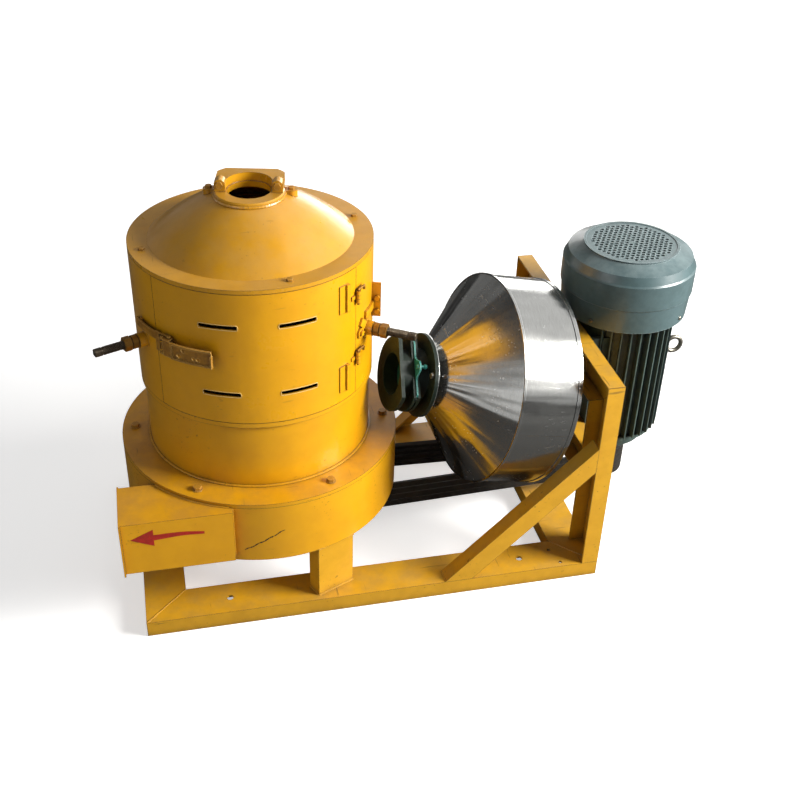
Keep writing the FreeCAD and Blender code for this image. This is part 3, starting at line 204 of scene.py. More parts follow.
def blank(name, metallic=0.0, coat=0.0, coatRoughness=0.2, specular=0.5):
    # a fresh material with one Principled shader
    material = bpy.data.materials.new(name)
    material.use_nodes = True
    tree = material.node_tree
    tree.nodes.clear()
    shader = place(tree, "BsdfPrincipled")
    shader.inputs["Metallic"].default_value = metallic
    shader.inputs["Coat Weight"].default_value = coat
    shader.inputs["Coat Roughness"].default_value = coatRoughness
    shader.inputs["Specular IOR Level"].default_value = specular
    out = place(tree, "OutputMaterial")
    tree.links.new(shader.outputs[0], out.inputs[0])
    return material, tree, shader


# ---- finishes

paintLooks = {
    "chamberPaint": {"colour": "#efac0c", "deep": "#e5a208", "dust": "#cc9433", "dirtAndShade": "#6b430f", "chipAndHighlight": "#5a3d18",
                     "dustiness": 0.12, "wearAndHighlight": 0.22, "rough": 0.26, "scale": 3.0, "coat": 0.35, "marks": 0.35},
    "lidPaint": {"colour": "#e2a31f", "deep": "#d79817", "dust": "#c49a56", "dirtAndShade": "#7d5a26", "chipAndHighlight": "#7a5c2e",
                 "dustiness": 0.38, "wearAndHighlight": 0.30, "rough": 0.24, "scale": 4.0, "coat": 0.5, "marks": 0.5},
    "drumPaint": {"colour": "#e8a80f", "deep": "#dd9d0b", "dust": "#b5823a", "dirtAndShade": "#5c3b12", "chipAndHighlight": "#54391a",
                  "dustiness": 0.50, "wearAndHighlight": 0.30, "rough": 0.30, "scale": 3.0, "coat": 0.3, "marks": 0.7},
    "framePaint": {"colour": "#e0a722", "deep": "#d19a1a", "dust": "#b08a45", "dirtAndShade": "#5d431c", "chipAndHighlight": "#6b4c22",
                   "dustiness": 0.55, "wearAndHighlight": 0.42, "rough": 0.36, "scale": 5.0, "coat": 0.2, "marks": 0.8},
    # latch: the near-black corner colour paints the shade in its recesses; its pale chip colour paints a highlight on
    # the edges
    "latchPaint": {"colour": "#b98120", "deep": "#8d5e18", "dust": "#a37d40", "dirtAndShade": "#2c1c0a", "chipAndHighlight": "#d6ac5c",
                   "dustiness": 0.35, "wearAndHighlight": 0.60, "rough": 0.38, "scale": 20.0, "coat": 0.1, "marks": 0.9},
    # slot lips: the door's yellow made paler, with pale chips, a painted highlight on the pressed rims
    "rimHighlightPaint": {"colour": "#eebf5a", "deep": "#e3ae40", "dust": "#cfa258", "dirtAndShade": "#8a6424", "chipAndHighlight": "#f1d08a",
                 "dustiness": 0.20, "wearAndHighlight": 0.40, "rough": 0.35, "scale": 20.0, "coat": 0.2, "marks": 0.4},
}


def yellowPaint(name):
    # enamel: gold mottled with a deeper gold, dust above, dirt and painted shade in corners, chips on edges, where a
    # pale chip colour is a painted highlight
    look = paintLooks[name]
    material, tree, shader = blank(name, coat=look["coat"], coatRoughness=0.18)
    spots = use(tree, mottle, Scale=look["scale"]).outputs["Fac"]
    dirtAndShade = use(tree, dustAndShade, Reach=0.035, Scale=14.0)
    wornAndHighlit = use(tree, edgeWearAndHighlight, Width=0.0035, Breakup=55.0, Amount=look["wearAndHighlight"]).outputs["Mask"]
    marks = use(tree, scuffs, Scale=9.0, Amount=look["marks"]).outputs["Mask"]
    body = blendColour(tree, spots, shade(look["colour"]), shade(look["deep"]))
    body = blendColour(tree, math2(tree, "MULTIPLY", dirtAndShade.outputs["Dust"], look["dustiness"]), body, shade(look["dust"]))
    # corners darkened: dirt colour laid as painted shade
    body = blendColour(tree, math2(tree, "MULTIPLY", dirtAndShade.outputs["Corner"], 0.8), body, shade(look["dirtAndShade"]))
    body = blendColour(tree, math2(tree, "MULTIPLY", marks, 0.7), body, shade(look["dirtAndShade"]))
    # edges: dark chips of worn paint; the pale chip colours (latch, slot rims) paint a highlight
    body = blendColour(tree, wornAndHighlit, body, shade(look["chipAndHighlight"]))
    feed(tree, body, shader.inputs["Base Color"])
    dull = math2(tree, "MULTIPLY_ADD", spots, 0.08, look["rough"])
    dull = math2(tree, "MULTIPLY_ADD", dirtAndShade.outputs["Dust"], 0.18, dull)
    dull = math2(tree, "MULTIPLY_ADD", math2(tree, "MAXIMUM", wornAndHighlit, marks), 0.25, dull, clamp=True)
    feed(tree, dull, shader.inputs["Roughness"])
    spot = place(tree, "TexCoord").outputs["Object"]
    peel = noise(tree, spot, 220.0, 3.0)
    sag = noise(tree, spot, 16.0, 2.0)
    normal = bump(tree, peel, 0.0004, strength=0.35)
    normal = bump(tree, sag, 0.0025, normal, 0.35)
    normal = bump(tree, math2(tree, "SUBTRACT", 1.0, wornAndHighlit), 0.0006, normal, 0.7)
    feed(tree, normal, shader.inputs["Normal"])
    return material


castLooks = {
    "motorPaint": {"colour": "#4a5d58", "deep": "#3c4c48", "dust": "#6f7a76", "dirtAndShade": "#1f2423", "chipAndHighlight": "#1c1f1f",
                   "dustiness": 0.40, "wearAndHighlight": 0.45, "rough": 0.44, "grain": 0.0010, "coat": 0.1},
    # the fan cover's pale chip colour paints a highlight along its edges
    "fanCoverPaint": {"colour": "#52676a", "deep": "#475b5d", "dust": "#8a9a9b", "dirtAndShade": "#242b2a", "chipAndHighlight": "#a9b8ba",
                      "dustiness": 0.45, "wearAndHighlight": 0.45, "rough": 0.30, "grain": 0.0003, "coat": 0.45},
    "neckPaint": {"colour": "#0b2115", "deep": "#081910", "dust": "#2c3b2f", "dirtAndShade": "#080c09", "chipAndHighlight": "#3c5a4c",
                  "dustiness": 0.15, "wearAndHighlight": 0.30, "rough": 0.50, "grain": 0.0012, "coat": 0.0},
    "gatePaint": {"colour": "#2f978c", "deep": "#237a72", "dust": "#5d8f86", "dirtAndShade": "#0e2c2a", "chipAndHighlight": "#8fb3a8",
                  "dustiness": 0.15, "wearAndHighlight": 0.45, "rough": 0.40, "grain": 0.0005, "coat": 0.15},
}


def castPaint(name):
    # paint on a casting: sandy grain, dusty ledges, corners darkened as painted shade, rubbed edges that are pale on
    # the fan cover as a painted highlight
    look = castLooks[name]
    material, tree, shader = blank(name, coat=look["coat"])
    spots = use(tree, mottle, Scale=11.0).outputs["Fac"]
    dirtAndShade = use(tree, dustAndShade, Reach=0.03, Scale=18.0)
    wornAndHighlit = use(tree, edgeWearAndHighlight, Width=0.0022, Breakup=90.0, Amount=look["wearAndHighlight"]).outputs["Mask"]
    body = blendColour(tree, spots, shade(look["colour"]), shade(look["deep"]))
    body = blendColour(tree, math2(tree, "MULTIPLY", dirtAndShade.outputs["Dust"], look["dustiness"]), body, shade(look["dust"]))
    # corners darkened: painted shade
    body = blendColour(tree, math2(tree, "MULTIPLY", dirtAndShade.outputs["Corner"], 0.85), body, shade(look["dirtAndShade"]))
    # edges take the chip colour: worn paint, and on the fan cover a painted highlight
    body = blendColour(tree, wornAndHighlit, body, shade(look["chipAndHighlight"]))
    feed(tree, body, shader.inputs["Base Color"])
    dull = math2(tree, "MULTIPLY_ADD", spots, 0.12, look["rough"])
    feed(tree, math2(tree, "MULTIPLY_ADD", dirtAndShade.outputs["Dust"], 0.25, dull, clamp=True), shader.inputs["Roughness"])
    spot = place(tree, "TexCoord").outputs["Object"]
    grain = noise(tree, spot, 340.0, 4.0, 0.6)
    normal = bump(tree, grain, look["grain"], strength=0.5)
    feed(tree, bump(tree, noise(tree, spot, 24.0, 2.0), 0.002, normal, 0.3), shader.inputs["Normal"])
    return material


metalLooks = {
    "zincPlate": {"colour": "#a9a69c", "deep": "#7d776a", "stainAndShade": "#6a5536", "rough": 0.34, "metal": 1.0, "grain": 0.0002,
                  "rub": "#c9c7c0"},
    "brassPlate": {"colour": "#a97a2c", "deep": "#86601f", "stainAndShade": "#3a2a14", "rough": 0.38, "metal": 0.55, "grain": 0.0002,
                   "rub": "#b5904e"},
    "boltPaint": {"colour": "#c48d2a", "deep": "#a3711f", "stainAndShade": "#5a3f18", "rough": 0.42, "metal": 0.1, "grain": 0.0003,
                  "rub": "#d9b878"},
    "rodSteel": {"colour": "#6a5f50", "deep": "#4b4136", "stainAndShade": "#33281c", "rough": 0.42, "metal": 0.85, "grain": 0.0003,
                 "rub": "#9a8e7a"},
    "bareIron": {"colour": "#5b5a57", "deep": "#3b3a38", "stainAndShade": "#53391f", "rough": 0.50, "metal": 0.9, "grain": 0.0006,
                 "rub": "#8d8b86"},
    "groundSteel": {"colour": "#b9b9b6", "deep": "#8f8f8c", "stainAndShade": "#6f6657", "rough": 0.24, "metal": 1.0, "grain": 0.0001,
                    "rub": "#d2d1cc"},
    "screenSteel": {"colour": "#9a9a96", "deep": "#767571", "stainAndShade": "#6d624c", "rough": 0.38, "metal": 1.0, "grain": 0.0002,
                    "rub": "#bdbcb6"},
}


def bareMetal(name):
    # plated or bare metal: two tones, corners darkened with stain and painted shade, bright rubbed edges
    look = metalLooks[name]
    material, tree, shader = blank(name, metallic=look["metal"])
    spots = use(tree, mottle, Scale=30.0).outputs["Fac"]
    dirtAndShade = use(tree, dustAndShade, Reach=0.015, Scale=40.0)
    wornAndHighlit = use(tree, edgeWearAndHighlight, Width=0.0012, Breakup=160.0, Amount=0.7).outputs["Mask"]
    body = blendColour(tree, spots, shade(look["colour"]), shade(look["deep"]))
    # corners darkened: stain and painted shade
    body = blendColour(tree, math2(tree, "MULTIPLY", dirtAndShade.outputs["Corner"], 0.9), body, shade(look["stainAndShade"]))
    body = blendColour(tree, wornAndHighlit, body, shade(look["rub"]))
    feed(tree, body, shader.inputs["Base Color"])
    dull = math2(tree, "MULTIPLY_ADD", spots, 0.18, look["rough"])
    feed(tree, math2(tree, "MULTIPLY_ADD", dirtAndShade.outputs["Corner"], 0.3, dull, clamp=True), shader.inputs["Roughness"])
    spot = place(tree, "TexCoord").outputs["Object"]
    feed(tree, bump(tree, noise(tree, spot, 500.0, 3.0), look["grain"], strength=0.5), shader.inputs["Normal"])
    return material


hopperLook = {"place": (0.153, -0.070, 0.465), "dip": 12.8, "turn": 5.6, "colour": "#c4c5c3", "deep": "#9b9a95",
              "scratchAndHighlight": "#f2f2f0", "stainAndShade": "#4d4536", "rough": 0.10}


def polishedSheet():
    # bright sheet: lines run round the axis, scratches cross them, shallow dents bend the reflections; corners take a
    # painted shade and edges a painted highlight
    look = hopperLook
    material, tree, shader = blank("polishedSheet", metallic=1.0)
    aim = place(tree, "Mapping", {"vector_type": "TEXTURE"}, Location=look["place"],
                Rotation=(0, math.radians(look["dip"]), math.radians(look["turn"])))
    feed(tree, place(tree, "TexCoord").outputs["Object"], aim.inputs["Vector"])
    part = place(tree, "SeparateXYZ")
    feed(tree, aim.outputs[0], part.inputs[0])
    turn = math2(tree, "ARCTAN2", part.outputs["Z"], part.outputs["Y"])
    squareSum = math2(tree, "ADD", math2(tree, "POWER", part.outputs["Y"], 2.0), math2(tree, "POWER", part.outputs["Z"], 2.0))
    far = math2(tree, "SQRT", squareSum)
    rings = place(tree, "CombineXYZ")
    feed(tree, math2(tree, "MULTIPLY", part.outputs["X"], 60.0), rings.inputs[0])
    feed(tree, math2(tree, "MULTIPLY", turn, 0.8), rings.inputs[1])
    feed(tree, math2(tree, "MULTIPLY", far, 60.0), rings.inputs[2])
    lines = noise(tree, rings.outputs[0], 14.0, 4.0, 0.7)
    ribs = place(tree, "CombineXYZ")
    feed(tree, math2(tree, "MULTIPLY", part.outputs["X"], 1.5), ribs.inputs[0])
    feed(tree, math2(tree, "MULTIPLY", turn, 2.2), ribs.inputs[1])
    dents = noise(tree, ribs.outputs[0], 2.6, 1.0, 0.4)
    marks = use(tree, scuffs, Scale=10.0, Amount=0.8).outputs["Mask"]
    spots = use(tree, mottle, Scale=8.0).outputs["Fac"]
    dirtAndShade = use(tree, dustAndShade, Reach=0.02, Scale=25.0)
    wornAndHighlit = use(tree, edgeWearAndHighlight, Width=0.003, Breakup=40.0, Amount=1.0).outputs["Mask"]
    body = blendColour(tree, lines, shade(look["colour"]), shade(look["deep"]))
    body = blendColour(tree, math2(tree, "MULTIPLY", marks, 0.6), body, shade(look["scratchAndHighlight"]))
    # corners darkened: stain and painted shade
    body = blendColour(tree, math2(tree, "MULTIPLY", dirtAndShade.outputs["Corner"], 0.3), body, shade(look["stainAndShade"]))
    # edges lightened: painted highlight on the rolled rims
    body = blendColour(tree, math2(tree, "MULTIPLY", wornAndHighlit, 0.8), body, shade(look["scratchAndHighlight"]))
    feed(tree, body, shader.inputs["Base Color"])
    dull = math2(tree, "MULTIPLY_ADD", lines, 0.10, look["rough"])
    dull = math2(tree, "MULTIPLY_ADD", spots, 0.07, dull)
    feed(tree, math2(tree, "MULTIPLY_ADD", marks, 0.25, dull, clamp=True), shader.inputs["Roughness"])
    normal = bump(tree, lines, 0.0002, strength=0.15)
    feed(tree, bump(tree, dents, 0.006, normal, 0.55), shader.inputs["Normal"])
    return material


beltLook = {"colour": "#141414", "edge": "#3b3630", "dust": "#4a4338", "rough": 0.62}


def beltRubber():
    # black wrapped rubber: fine weave, frayed dusty edges
    material, tree, shader = blank("beltRubber", specular=0.35)
    spots = use(tree, mottle, Scale=14.0).outputs["Fac"]
    dirtAndShade = use(tree, dustAndShade, Reach=0.02, Scale=30.0)
    wornAndHighlit = use(tree, edgeWearAndHighlight, Width=0.0016, Breakup=120.0, Amount=0.8).outputs["Mask"]
    body = blendColour(tree, math2(tree, "MULTIPLY", spots, 0.35), shade(beltLook["colour"]), shade(beltLook["dust"]))
    body = blendColour(tree, math2(tree, "MULTIPLY", dirtAndShade.outputs["Dust"], 0.5), body, shade(beltLook["dust"]))
    body = blendColour(tree, wornAndHighlit, body, shade(beltLook["edge"]))
    feed(tree, body, shader.inputs["Base Color"])
    feed(tree, math2(tree, "MULTIPLY_ADD", spots, 0.2, beltLook["rough"]), shader.inputs["Roughness"])
    spot = place(tree, "TexCoord").outputs["Object"]
    weave = place(tree, "TexChecker", None, Scale=900.0, Color1=(0, 0, 0, 1), Color2=(1, 1, 1, 1))
    feed(tree, spot, weave.inputs["Vector"])
    normal = bump(tree, weave.outputs["Fac"], 0.0003, strength=0.4)
    feed(tree, bump(tree, noise(tree, spot, 90.0, 4.0), 0.0008, normal, 0.4), shader.inputs["Normal"])
    return material


def emeryStone():
    # bonded grit: dark crystals, a few that glint
    material, tree, shader = blank("emeryStone", specular=0.6)
    spot = place(tree, "TexCoord").outputs["Object"]
    grit = place(tree, "TexVoronoi", None, Scale=420.0)
    feed(tree, spot, grit.inputs["Vector"])
    cells = ramp(tree, grit.outputs["Distance"], 0.0, 0.6)
    body = blendColour(tree, cells, shade("#4a4644"), shade("#211f1f"))
    body = blendColour(tree, math2(tree, "MULTIPLY", use(tree, dustAndShade, Reach=0.03, Scale=9.0).outputs["Dust"], 0.5), body, shade("#a89468"))
    feed(tree, body, shader.inputs["Base Color"])
    feed(tree, math2(tree, "MULTIPLY_ADD", cells, 0.4, 0.45), shader.inputs["Roughness"])
    feed(tree, bump(tree, cells, 0.0012, strength=0.8), shader.inputs["Normal"])
    return material


def fanMoulding():
    material, tree, shader = blank("fanMoulding", specular=0.4)
    spots = use(tree, mottle, Scale=16.0).outputs["Fac"]
    dust = use(tree, dustAndShade, Reach=0.02, Scale=20.0).outputs["Dust"]
    body = blendColour(tree, spots, shade("#1b1b1c"), shade("#28282a"))
    feed(tree, blendColour(tree, dust, body, shade("#5b5850")), shader.inputs["Base Color"])
    feed(tree, math2(tree, "MULTIPLY_ADD", spots, 0.15, 0.5), shader.inputs["Roughness"])
    return material


def markPaint():
    # thin red stencil paint, worn through in places
    material, tree, shader = blank("markPaint", coat=0.2)
    spots = use(tree, mottle, Scale=60.0).outputs["Fac"]
    body = blendColour(tree, spots, shade("#c2291c"), shade("#9c2416"))
    thin = use(tree, scuffs, Scale=22.0, Amount=0.9).outputs["Mask"]
    feed(tree, blendColour(tree, thin, body, shade("#b77a1c")), shader.inputs["Base Color"])
    feed(tree, math2(tree, "MULTIPLY_ADD", spots, 0.15, 0.38), shader.inputs["Roughness"])
    return material


def primerPaint():
    # dark primer and bare steel laid open by a scrape
    material, tree, shader = blank("primerPaint", specular=0.4)
    spots = use(tree, mottle, Scale=90.0).outputs["Fac"]
    bare = use(tree, scuffs, Scale=40.0, Amount=0.9).outputs["Mask"]
    body = blendColour(tree, spots, shade("#1d221c"), shade("#3b3a2c"))
    feed(tree, blendColour(tree, bare, body, shade("#8d7b4c")), shader.inputs["Base Color"])
    feed(tree, math2(tree, "MULTIPLY_ADD", spots, 0.2, 0.5), shader.inputs["Roughness"])
    return material


finish = {name: yellowPaint(name) for name in paintLooks}
finish.update({name: castPaint(name) for name in castLooks})
finish.update({name: bareMetal(name) for name in metalLooks})
finish["polishedSheet"] = polishedSheet()
finish["beltRubber"] = beltRubber()
finish["emeryStone"] = emeryStone()
finish["fanMoulding"] = fanMoulding()
finish["markPaint"] = markPaint()
finish["primerPaint"] = primerPaint()
print("finishes made:", len(finish))

wears = {
    "framePaint": ["front_rail", "rear_rail", "left_rail", "right_rail", "front_post", "rear_post", "top_bar",
                   "motor_bar", "diagonal_braces", "drum_legs"],
    "drumPaint": ["lower_drum", "discharge_chute", "drum_cover", "base_casing", "deck_ring"],
    "chamberPaint": ["left_post", "right_post", "rear_cover", "front_door", "sweeper"],
    "lidPaint": ["lid", "inlet_collar"],
    "latchPaint": ["latch_lever", "latch_link"],
    "brassPlate": ["adjuster_lock_nuts", "hinge_pins"],
    "boltPaint": ["cover_bolts", "seat_bolts", "motor_bolts"],
    "rodSteel": ["left_adjuster_rod", "right_adjuster_rod"],
    "zincPlate": ["neck_screws", "shaft_nuts", "left_resistance_bar", "right_resistance_bar", "roller_sleeve", "eye_bolt"],
    "bareIron": ["bearing_housing", "driven_pulley", "motor_pulley", "feed_cone"],
    "groundSteel": ["main_shaft", "motor_shaft", "shaft_bearings"],
    "emeryStone": ["lower_emery_roller", "middle_emery_roller", "upper_emery_roller"],
    "screenSteel": ["sieve_screen"],
    "beltRubber": ["v_belts"],
    "motorPaint": ["motor_frame", "lower_end_shield", "upper_end_shield", "terminal_box"],
    "fanCoverPaint": ["fan_cover", "fan_grille"],
    "fanMoulding": ["cooling_fan"],
    "polishedSheet": ["hopper_shell"],
    "neckPaint": ["feed_neck"],
    "gatePaint": ["slide_gate"],
}
for material, names in wears.items():
    for name in names:
        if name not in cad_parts:
            continue
        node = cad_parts[name]
        for item in node.material_slots:
            item.material = finish[material]
print("finishes put on")


# ---- surfaces worked out as grids and put into meshes

def gridFaces(rows, columns, roundColumns=True):
    # four corners of every cell of a grid; the last column joins the first when it goes round
    across = columns if roundColumns else columns - 1
    i, j = np.meshgrid(np.arange(rows - 1), np.arange(across), indexing="ij")
    k = (j + 1) % columns
    return np.stack([i * columns + j, i * columns + k, (i + 1) * columns + k, (i + 1) * columns + j], -1).reshape(-1, 4)


def makePiece(name, parts, body, material, smooth=True):
    # parts: a list of (grid of points rows x columns x 3, close the two ends?)
    points, faces, count = [], [], 0
    for grid, capped in parts:
        rows, columns = grid.shape[:2]
        points.append(grid.reshape(-1, 3))
        faces += (gridFaces(rows, columns) + count).tolist()
        if capped:
            faces.append((np.arange(columns)[::-1] + count).tolist())
            faces.append((np.arange(columns) + count + (rows - 1) * columns).tolist())
        count += rows * columns
    mesh = bpy.data.meshes.new(name)
    mesh.from_pydata(np.concatenate(points).tolist(), [], faces)
    joined = bmesh.new()
    joined.from_mesh(mesh)
    bmesh.ops.remove_doubles(joined, verts=joined.verts, dist=1e-7)
    joined.to_mesh(mesh)
    joined.free()
    mesh.update()
    mesh.polygons.foreach_set("use_smooth", np.full(len(mesh.polygons), smooth))
    if smooth:
        mesh.set_sharp_from_angle(angle=math.radians(38))
    item = bpy.data.objects.new(name, mesh)
    bpy.context.scene.collection.objects.link(item)
    item.data.materials.append(finish[material])
    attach(item, body)
    return item


def unit(v):
    return v / np.linalg.norm(v, axis=-1, keepdims=True)


def carry(path, radius, sides=8, ring=False, flat=1.0):
    # a round or oval section carried along a path: point = path + radius (side cos t + up flat sin t)
    if ring:
        ahead = unit(np.roll(path, -1, 0) - np.roll(path, 1, 0))
    else:
        ahead = unit(np.gradient(path, axis=0))
    helper = np.where(np.abs(ahead[:, 2:3]) > 0.9, [[1.0, 0.0, 0.0]], [[0.0, 0.0, 1.0]])
    side = unit(np.cross(ahead, helper))
    up = np.cross(side, ahead)
    t = np.linspace(0, 2 * np.pi, sides, endpoint=False)
    radius = np.broadcast_to(np.asarray(radius, float).reshape(-1, 1, 1), (len(path), 1, 1))
    grid = path[:, None] + radius * (side[:, None] * np.cos(t)[None, :, None] + flat * up[:, None] * np.sin(t)[None, :, None])
    if ring:
        grid = np.concatenate([grid, grid[:1]])
    return grid[:, ::-1]


def resample(corners, step):
    # points at an even step along straight runs between corners
    corners = np.asarray(corners, float)
    runs = np.linalg.norm(np.diff(corners, axis=0), axis=1)
    far = np.concatenate([[0], np.cumsum(runs)])
    s = np.linspace(0, far[-1], max(int(far[-1] / step), 2))
    return np.stack([np.interp(s, far, corners[:, k]) for k in range(3)], -1)


def bead(path, radius, ring=False, seed=1):
    # weld: the section swells and sinks once every ripple, and wanders a little
    rng = np.random.default_rng(seed)
    s = np.arange(len(path))
    ripple = 1 + 0.13 * np.abs(np.sin(s * np.pi / 2.6)) + 0.05 * rng.standard_normal(len(path))
    if not ring:
        ripple *= np.clip(np.minimum(s, len(path) - 1 - s) / 3 + 0.45, 0, 1)
    return carry(path, radius * ripple, 8, ring), not ring


machine = {"axis": (-0.383, 0.0), "left": -0.711, "right": 0.432, "front": -0.345, "web": 0.100, "flange": 0.042,
           "frameTop": 0.580, "turn": -4.5, "adjuster": 63.0, "adjusterHeight": 0.686}


def around(angle, radius, z):
    # degrees from the front, growing towards the motor
    a = np.radians(np.asarray(angle, float))
    x = machine["axis"][0] + radius * np.sin(a)
    return np.stack([x, machine["axis"][1] - radius * np.cos(a), np.broadcast_to(z, np.shape(x))], -1)


def circleAt(radius, z, start=0.0, stop=360.0, step=0.0016):
    count = int(radius * math.radians(stop - start) / step)
    return around(np.linspace(start, stop, count, endpoint=stop - start < 359.9), radius, z)


weldLook = {"step": 0.0016, "frame": 0.0026, "drum": 0.0032, "small": 0.0022}


def buildFrameWelds():
    m, w = machine, weldLook
    parts = []

    def lay(corners, radius):
        parts.append(bead(resample(corners, w["step"]), radius, seed=len(parts)))

    web, flange, top = m["web"], m["flange"], m["frameTop"]
    for sign in (1, -1):
        y0, y1 = sign * m["front"], sign * (m["front"] + web)
        for x0, x1 in ((m["left"], m["left"] + web), (m["right"], m["right"] - web)):
            lay([(x0, y0, flange), (x1, y1, flange)], w["small"] * 0.75)
        face = m["right"]
        lay([(face - flange, y0 + sign * 0.0042, flange), (face - 0.004, y0 + sign * 0.0042, flange)], w["frame"])
        lay([(face - flange, y1, flange), (face - 0.002, y1, flange)], w["frame"])
        lay([(face, y0 + sign * 0.003, top - 0.003), (face, y1, top - web)], w["small"] * 0.8)
        lay([(face, y1, 0.247), (face, y1, 0.343)], w["small"] * 0.8)
        lay([(face - flange, y1, 0.345), (face - 0.003, y1, 0.345)], w["frame"])
        lay([(0.028, y0 + sign * 0.0042, flange), (0.096, y0 + sign * 0.0042, flange)], w["frame"])
        lay([(0.028, y0 + sign * 0.005, flange), (0.028, y0 + sign * 0.041, flange)], w["frame"])
        lay([(face - flange, y0 + sign * 0.0042, 0.337), (face - flange, y0 + sign * 0.0042, 0.404)], w["frame"])
    for angle, reach in ((24.0, 0.338), (156.0, 0.338), (270.0, 0.324)):
        out = np.array([math.sin(math.radians(angle)), -math.cos(math.radians(angle)), 0])
        side = np.array([-out[1], out[0], 0])
        base = np.array([*m["axis"], 0.0])
        for z in (flange, 0.1895):
            shape = [(reach - flange, -0.05), (reach, -0.05), (reach, 0.05), (reach - flange, 0.05)]
            lay([base + out * r + side * t + np.array([0, 0, z]) for r, t in shape], w["frame"])
    makePiece("frameWelds", parts, "machine", "framePaint")


def buildDrumWelds():
    m, w = machine, weldLook
    parts = [bead(circleAt(0.2735, 0.3575), w["drum"], True, 31), bead(circleAt(0.2735, 0.5262), w["small"], True, 32)]
    parts.append(bead(circleAt(0.3428, 0.3465, -53.0, -19.0), w["small"], seed=33))
    parts.append(bead(resample([(-0.4885, -0.3262, 0.204), (-0.4885, -0.3262, 0.345)], w["step"]), w["small"], seed=34))
    parts.append(bead(resample([(-0.6605, -0.2035, 0.204), (-0.6605, -0.2035, 0.345)], w["step"]), w["small"], seed=35))
    makePiece("drumWelds", parts, "machine", "drumPaint")
    rings = []
    for side in (-1, 1):
        t = np.linspace(0, 2 * np.pi, 70, endpoint=False)
        across, z = 0.0178 * np.cos(t), m["adjusterHeight"] + 0.0178 * np.sin(t)
        radius = np.sqrt(0.2792 ** 2 - across ** 2)
        angle = m["turn"] + side * m["adjuster"] + np.degrees(np.arcsin(across / 0.2792))
        rings.append(bead(around(angle, radius + 0.0002, z), w["small"], True, 40 + side))
    makePiece("bossWelds", rings, "machine", "chamberPaint")
    makePiece("collarWeld", [bead(circleAt(0.0795, 0.9712), w["drum"], True, 51)], "lid_body", "lidPaint")


threadLook = {"crest": 0.0100, "root": 0.0087, "pitch": 0.0025, "journal": 0.0070, "square": 0.0080,
              "inner": 0.237, "journalEnd": 0.255, "start": 0.262, "squareStart": 0.385, "end": 0.402, "sides": 40,
              "perTurn": 9}


def buildRods():
    # r(s, t) = root + (crest - root) * clipped triangle(s / pitch - t / 2 pi); the end is a superellipse, power 10
    look = threadLook
    step = look["pitch"] / look["perTurn"]
    s = np.concatenate([[look["inner"], look["journalEnd"], look["journalEnd"] + 2e-4, look["start"] - 2e-4], np.arange(look["start"], look["squareStart"] - 1e-3, step),
                        [look["squareStart"] - 4e-4, look["squareStart"], look["end"] - 0.0012, look["end"]]])
    t = np.linspace(0, 2 * np.pi, look["sides"], endpoint=False)
    phase = (s[:, None] / look["pitch"] - t[None] / (2 * np.pi)) % 1
    wave = np.clip(1.35 * (1 - np.abs(2 * phase - 1)) - 0.15, 0, 1)
    radius = look["root"] + (look["crest"] - look["root"]) * wave
    fade = np.clip((look["squareStart"] - 1.5e-3 - s) / 0.003, 0, 1)[:, None]
    radius = look["root"] + (radius - look["root"]) * fade
    square = look["square"] / (np.abs(np.cos(t)) ** 10 + np.abs(np.sin(t)) ** 10) ** 0.1
    square = np.minimum(square, look["crest"])
    radius[:2] = look["journal"]
    radius[2:4] = look["crest"] - 1e-4
    radius[-3:-1] = square
    radius[-1] = square * 0.88
    for name, side in (("left", -1), ("right", 1)):
        angle = math.radians(machine["turn"] + side * machine["adjuster"])
        out = np.array([math.sin(angle), -math.cos(angle), 0])
        across = np.array([-out[1], out[0], 0])
        base = np.array([*machine["axis"], machine["adjusterHeight"]])
        grid = base + out * s[:, None, None] + radius[..., None] * (across * np.cos(t)[None, :, None] + np.array([0, 0, 1.0]) * np.sin(t)[None, :, None])
        rod = makePiece(name + "ThreadedRod", [(grid, True)], name + "_rod", "rodSteel")
        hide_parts(name + "_adjuster_rod")


arrowLook = {"y": -0.3434, "x": (-0.722, -0.556), "z": 0.302, "half": 0.0085, "head": 0.0235, "headLong": 0.052,
             "wave": 0.0035, "thick": 0.0003}


def buildArrow():
    # half width w(u): widens evenly over the head, then a shaft that narrows to its tail and waves a little
    look = arrowLook
    x0, x1 = look["x"]
    x = np.concatenate([np.linspace(x0, x0 + look["headLong"], 24), np.linspace(x0 + look["headLong"] + 1e-5, x1, 60)])
    u = (x - x0) / (x1 - x0)
    inHead = x <= x0 + look["headLong"]
    half = np.where(inHead, look["head"] * (x - x0) / look["headLong"] + 1e-5, look["half"] * (1.15 - 0.75 * u))
    middle = look["z"] + look["wave"] * np.sin((u - 0.25) * 5.0) * np.clip(u * 1.6 - 0.3, 0, 1)
    front, back = look["y"] - look["thick"], look["y"] + look["thick"]
    corners = [(-1, front), (-1, back), (1, back), (1, front)]
    grid = np.stack([np.stack([x, np.full_like(x, y), middle + side * half], -1) for side, y in corners], 1)
    makePiece("outletArrow", [(grid, True)], "machine", "markPaint", smooth=False)


